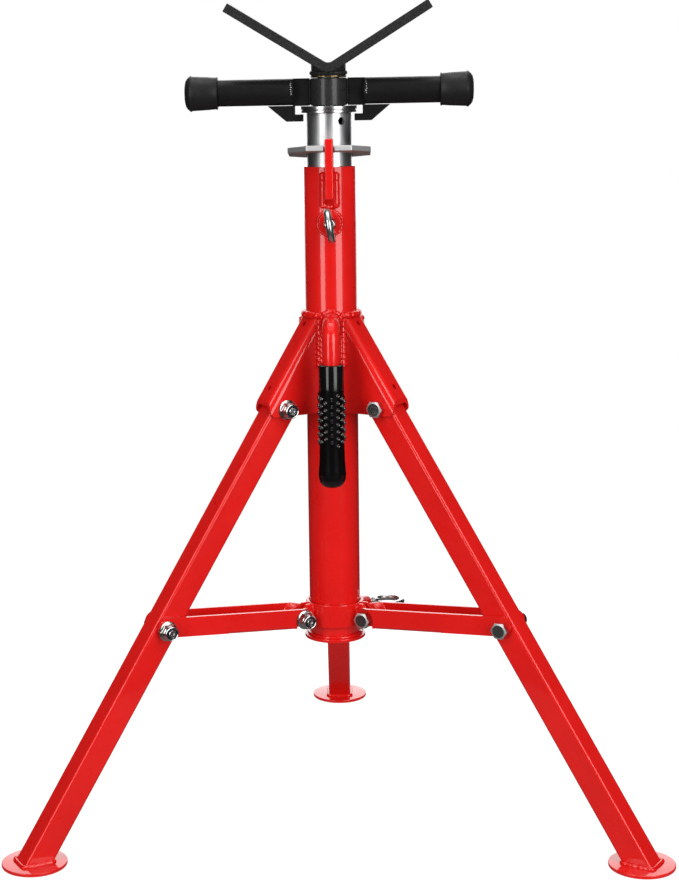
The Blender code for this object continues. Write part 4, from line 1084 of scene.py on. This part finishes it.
grip_low, grip_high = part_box("carry_handle_grip")
grip_place = shift(0, (grip_low.y + grip_high.y) / 2, 0)
grip_end, grip_bottom, grip_top = upright_rod("carry_handle_grip")
grip_bore = handle_radius + 0.0003
grip_profile = [
    (grip_bore, grip_top - 0.0010),
    (grip_bore + 0.0006, grip_top),
    (GRIP_BODY - 0.0014, grip_top),
    (GRIP_BODY - 0.0004, grip_top - 0.0006),
    (GRIP_BODY, grip_top - 0.0018),
    (GRIP_BODY, grip_bottom + GRIP_DULL[1]),
    (GRIP_BODY, grip_bottom + 0.0370),
    (GRIP_BODY + 0.0003, grip_bottom + 0.0260),
    (grip_end - 0.0004, grip_bottom + 0.0170),
    (grip_end, grip_bottom + GRIP_DULL[0]),
    (grip_end - 0.0003, grip_bottom + 0.0088),
    (grip_end - 0.0014, grip_bottom + 0.0052),
    (grip_end - 0.0036, grip_bottom + 0.0022),
    (grip_end - 0.0064, grip_bottom + 0.0006),
    (grip_end - 0.0090, grip_bottom),
    (0, grip_bottom),
    (0, grip_bottom + GRIP_FLOOR),
    (grip_bore, grip_bottom + GRIP_FLOOR),
]
sleeve = turned(grip_profile, 72)
sleeve.materials.append(grip_vinyl)
sleeve.materials.append(grip_dull)
for face in sleeve.polygons:
    if GRIP_DULL[0] < face.center.z - grip_bottom < GRIP_DULL[1]:
        face.material_index = 1
piece("carry_grip_sleeve", sleeve, grip_vinyl, "stand", grip_place, ("carry_handle_grip",))


def knob_rings(centre_angle, height):
    """One raised ring on the grip: a low dome with a dimple."""
    # Shares of the knob's radius and of its height, from its middle out
    dome = [(0, 0.15), (0.22, 0.22), (0.42, 0.75), (0.58, 1), (0.76, 0.85), (0.94, 0.25)]
    profile = [(share, KNOB_HEIGHT * lift) for share, lift in dome] + [(1.0, -0.0006)]
    out = Vector((cos(centre_angle), sin(centre_angle), 0))
    tangent = Vector((-out.y, out.x, 0))
    centre = out * GRIP_BODY + Vector((0, 0, height))
    return [[centre + out * lift + tangent * x + Vector((0, 0, y))
             for x, y, _ in round_ring(KNOB_RADIUS * share, 0, KNOB_FACETS)] for share, lift in profile]


knobs = bmesh.new()
grip_middle = grip_bottom + (grip_top - grip_bottom) * GRIP_MIDDLE_SHARE
for column, rows in enumerate(GRIP_ROWS):
    angle = GRIP_PHASE + 2 * pi * column / len(GRIP_ROWS)
    for row in range(rows):
        rings = knob_rings(angle, grip_middle + GRIP_ROW * (row - (rows - 1) / 2))
        bridge(knobs, [[knobs.verts.new(point) for point in ring] for ring in rings])
piece("carry_grip_knobs", smooth(mesh_of(knobs, "carry_grip_knobs"), 60), knob_vinyl, "stand", grip_place)
settle_cuts()


# Camera, light and floor

def make_camera():
    data = bpy.data.cameras.new("camera")
    data.lens = CAMERA_LENS_MM
    data.sensor_width = 36
    data.shift_x = CAMERA_SHIFT
    made = linked("camera", data)
    made.matrix_world = (shift(CAMERA_DISTANCE * sin(CAMERA_AZIMUTH),
                               MAST_Y - CAMERA_DISTANCE * cos(CAMERA_AZIMUTH), CAMERA_HEIGHT)
                         @ Matrix.Rotation(CAMERA_AZIMUTH - CAMERA_PAN, 4, "Z")
                         @ Matrix.Rotation(radians(90) - CAMERA_PITCH, 4, "X")
                         @ Matrix.Rotation(CAMERA_ROLL, 4, "Z"))
    bpy.context.scene.camera = made


def softbox(name, spot, target, width, height, power):
    data = bpy.data.lights.new(name, "AREA")
    data.shape = "RECTANGLE"
    data.size = width
    data.size_y = height
    data.energy = power
    made = linked(name, data)
    made.location = spot
    made.rotation_euler = (Vector(target) - Vector(spot)).to_track_quat("-Z", "Y").to_euler()


def mixed(tree, share, first, second):
    """The first shader where the share is 0, the second where it is 1."""
    mix = tree.nodes.new("ShaderNodeMixShader")
    for socket, source in zip(mix.inputs, (share, first, second)):
        tree.links.new(source, socket)
    return mix.outputs[0]


def seen_as(tree, seen, hidden):
    """One shader for what the camera, reflections and clear material see, the other for the rest."""
    path = tree.nodes.new("ShaderNodeLightPath")
    total = path.outputs["Is Camera Ray"]
    for name in ("Is Glossy Ray", "Is Transmission Ray"):
        most = tree.nodes.new("ShaderNodeMath")
        most.operation = "MAXIMUM"
        tree.links.new(total, most.inputs[0])
        tree.links.new(path.outputs[name], most.inputs[1])
        total = most.outputs[0]
    return mixed(tree, total, hidden, seen)


def white_world():
    world = bpy.data.worlds.new("studio")
    world.use_nodes = True
    bpy.context.scene.world = world
    tree = world.node_tree
    white, room = tree.nodes["Background"], tree.nodes.new("ShaderNodeBackground")
    for shader, strength in ((white, 1.0), (room, ROOM_LIGHT)):
        shader.inputs["Color"].default_value = (1, 1, 1, 1)
        shader.inputs["Strength"].default_value = strength
    shown = seen_as(tree, white.outputs[0], room.outputs[0])
    tree.links.new(shown, tree.nodes["World Output"].inputs["Surface"])


def pale_floor():
    """A white floor that keeps the stand's soft shadow and turns plain white further out."""
    bpy.ops.mesh.primitive_circle_add(vertices=96, radius=FLOOR_RADIUS, fill_type="NGON",
                                      location=(0, 0, -0.0002))
    floor = bpy.context.object
    floor.name = "floor"
    made, shader = shader_material("pale_floor", (FLOOR_GREY, FLOOR_GREY, FLOOR_GREY), 0.9, 0.0)
    tree = made.node_tree
    glow = tree.nodes.new("ShaderNodeEmission")
    glow.inputs["Strength"].default_value = FLOOR_GLOW
    lit = tree.nodes.new("ShaderNodeAddShader")
    tree.links.new(shader.outputs[0], lit.inputs[0])
    tree.links.new(glow.outputs[0], lit.inputs[1])
    white = tree.nodes.new("ShaderNodeEmission")
    place = tree.nodes.new("ShaderNodeTexCoord")
    distance = tree.nodes.new("ShaderNodeVectorMath")
    distance.operation = "LENGTH"
    tree.links.new(place.outputs["Object"], distance.inputs[0])
    spread = tree.nodes.new("ShaderNodeMapRange")
    spread.interpolation_type = "SMOOTHSTEP"
    spread.inputs["From Min"].default_value = FLOOR_SHADOW_RADIUS
    spread.inputs["From Max"].default_value = FLOOR_RADIUS * 0.9
    tree.links.new(distance.outputs["Value"], spread.inputs["Value"])
    fading = mixed(tree, spread.outputs["Result"], lit.outputs[0], white.outputs[0])
    shown = seen_as(tree, fading, shader.outputs[0])
    tree.links.new(shown, tree.nodes["Material Output"].inputs["Surface"])
    floor.data.materials.append(made)


def reflected_only(name, shape, grey):
    """A matt grey stage piece that only reflections see."""
    made = linked(name, mesh_of(shape, name))
    felt, _ = shader_material(name + "_felt", (grey, grey, grey), 1.0, 0.0)
    made.data.materials.append(felt)
    made.visible_camera = False
    made.visible_diffuse = False
    made.visible_shadow = False
    made.visible_transmission = False


def dark_tent():
    """A dark half dome on the camera's side."""
    shape = bmesh.new()
    rows = []
    for climb in range(0, 61, 10):
        level = TENT_RADIUS * sin(radians(climb))
        reach = TENT_RADIUS * cos(radians(climb))
        turns = [radians(turn) for turn in range(-TENT_HALF_TURN, TENT_HALF_TURN + 1, 10)]
        rows.append([shape.verts.new((reach * sin(turn), -reach * cos(turn), level)) for turn in turns])
    for lower, upper in zip(rows, rows[1:]):
        for corners in zip(lower, lower[1:], upper[1:], upper):
            shape.faces.new(corners)
    reflected_only("dark_tent", shape, TENT_GREY)


def floor_boards():
    """A grey board under the stand, and a dark one round it."""
    shape = bmesh.new()
    level = shift(0, 0, BOARD_LEVEL)
    bmesh.ops.create_circle(shape, cap_ends=True, segments=64, radius=BOARD_RADIUS, matrix=level)
    reflected_only("grey_board", shape, BOARD_GREY)
    shape = bmesh.new()
    inner, outer = [[shape.verts.new(point) for point in round_ring(reach, BOARD_LEVEL, 64)]
                    for reach in (BOARD_RADIUS, TENT_RADIUS)]
    for i in range(len(inner)):
        following = (i + 1) % len(inner)
        shape.faces.new((inner[i], outer[i], outer[following], inner[following]))
    reflected_only("dark_board", shape, TENT_GREY)


make_camera()
white_world()
pale_floor()
for name, aside, width, power in FRONT_LIGHTS:
    spot = (BOX_DISTANCE * sin(radians(aside)), -BOX_DISTANCE * cos(radians(aside)), 1.55)
    softbox(name, spot, (0, 0, 0.9), width, 3.1, power)
softbox("top_light", (0, 0.1, 2.5), (0, 0, 0.3), 1.4, 1.0, 12)
softbox("back_light", (0, 2.6, 1.5), (0, 0, 0.6), 2.4, 2.4, 22)
dark_tent()
floor_boards()
bpy.context.scene.view_settings.view_transform = "Standard"
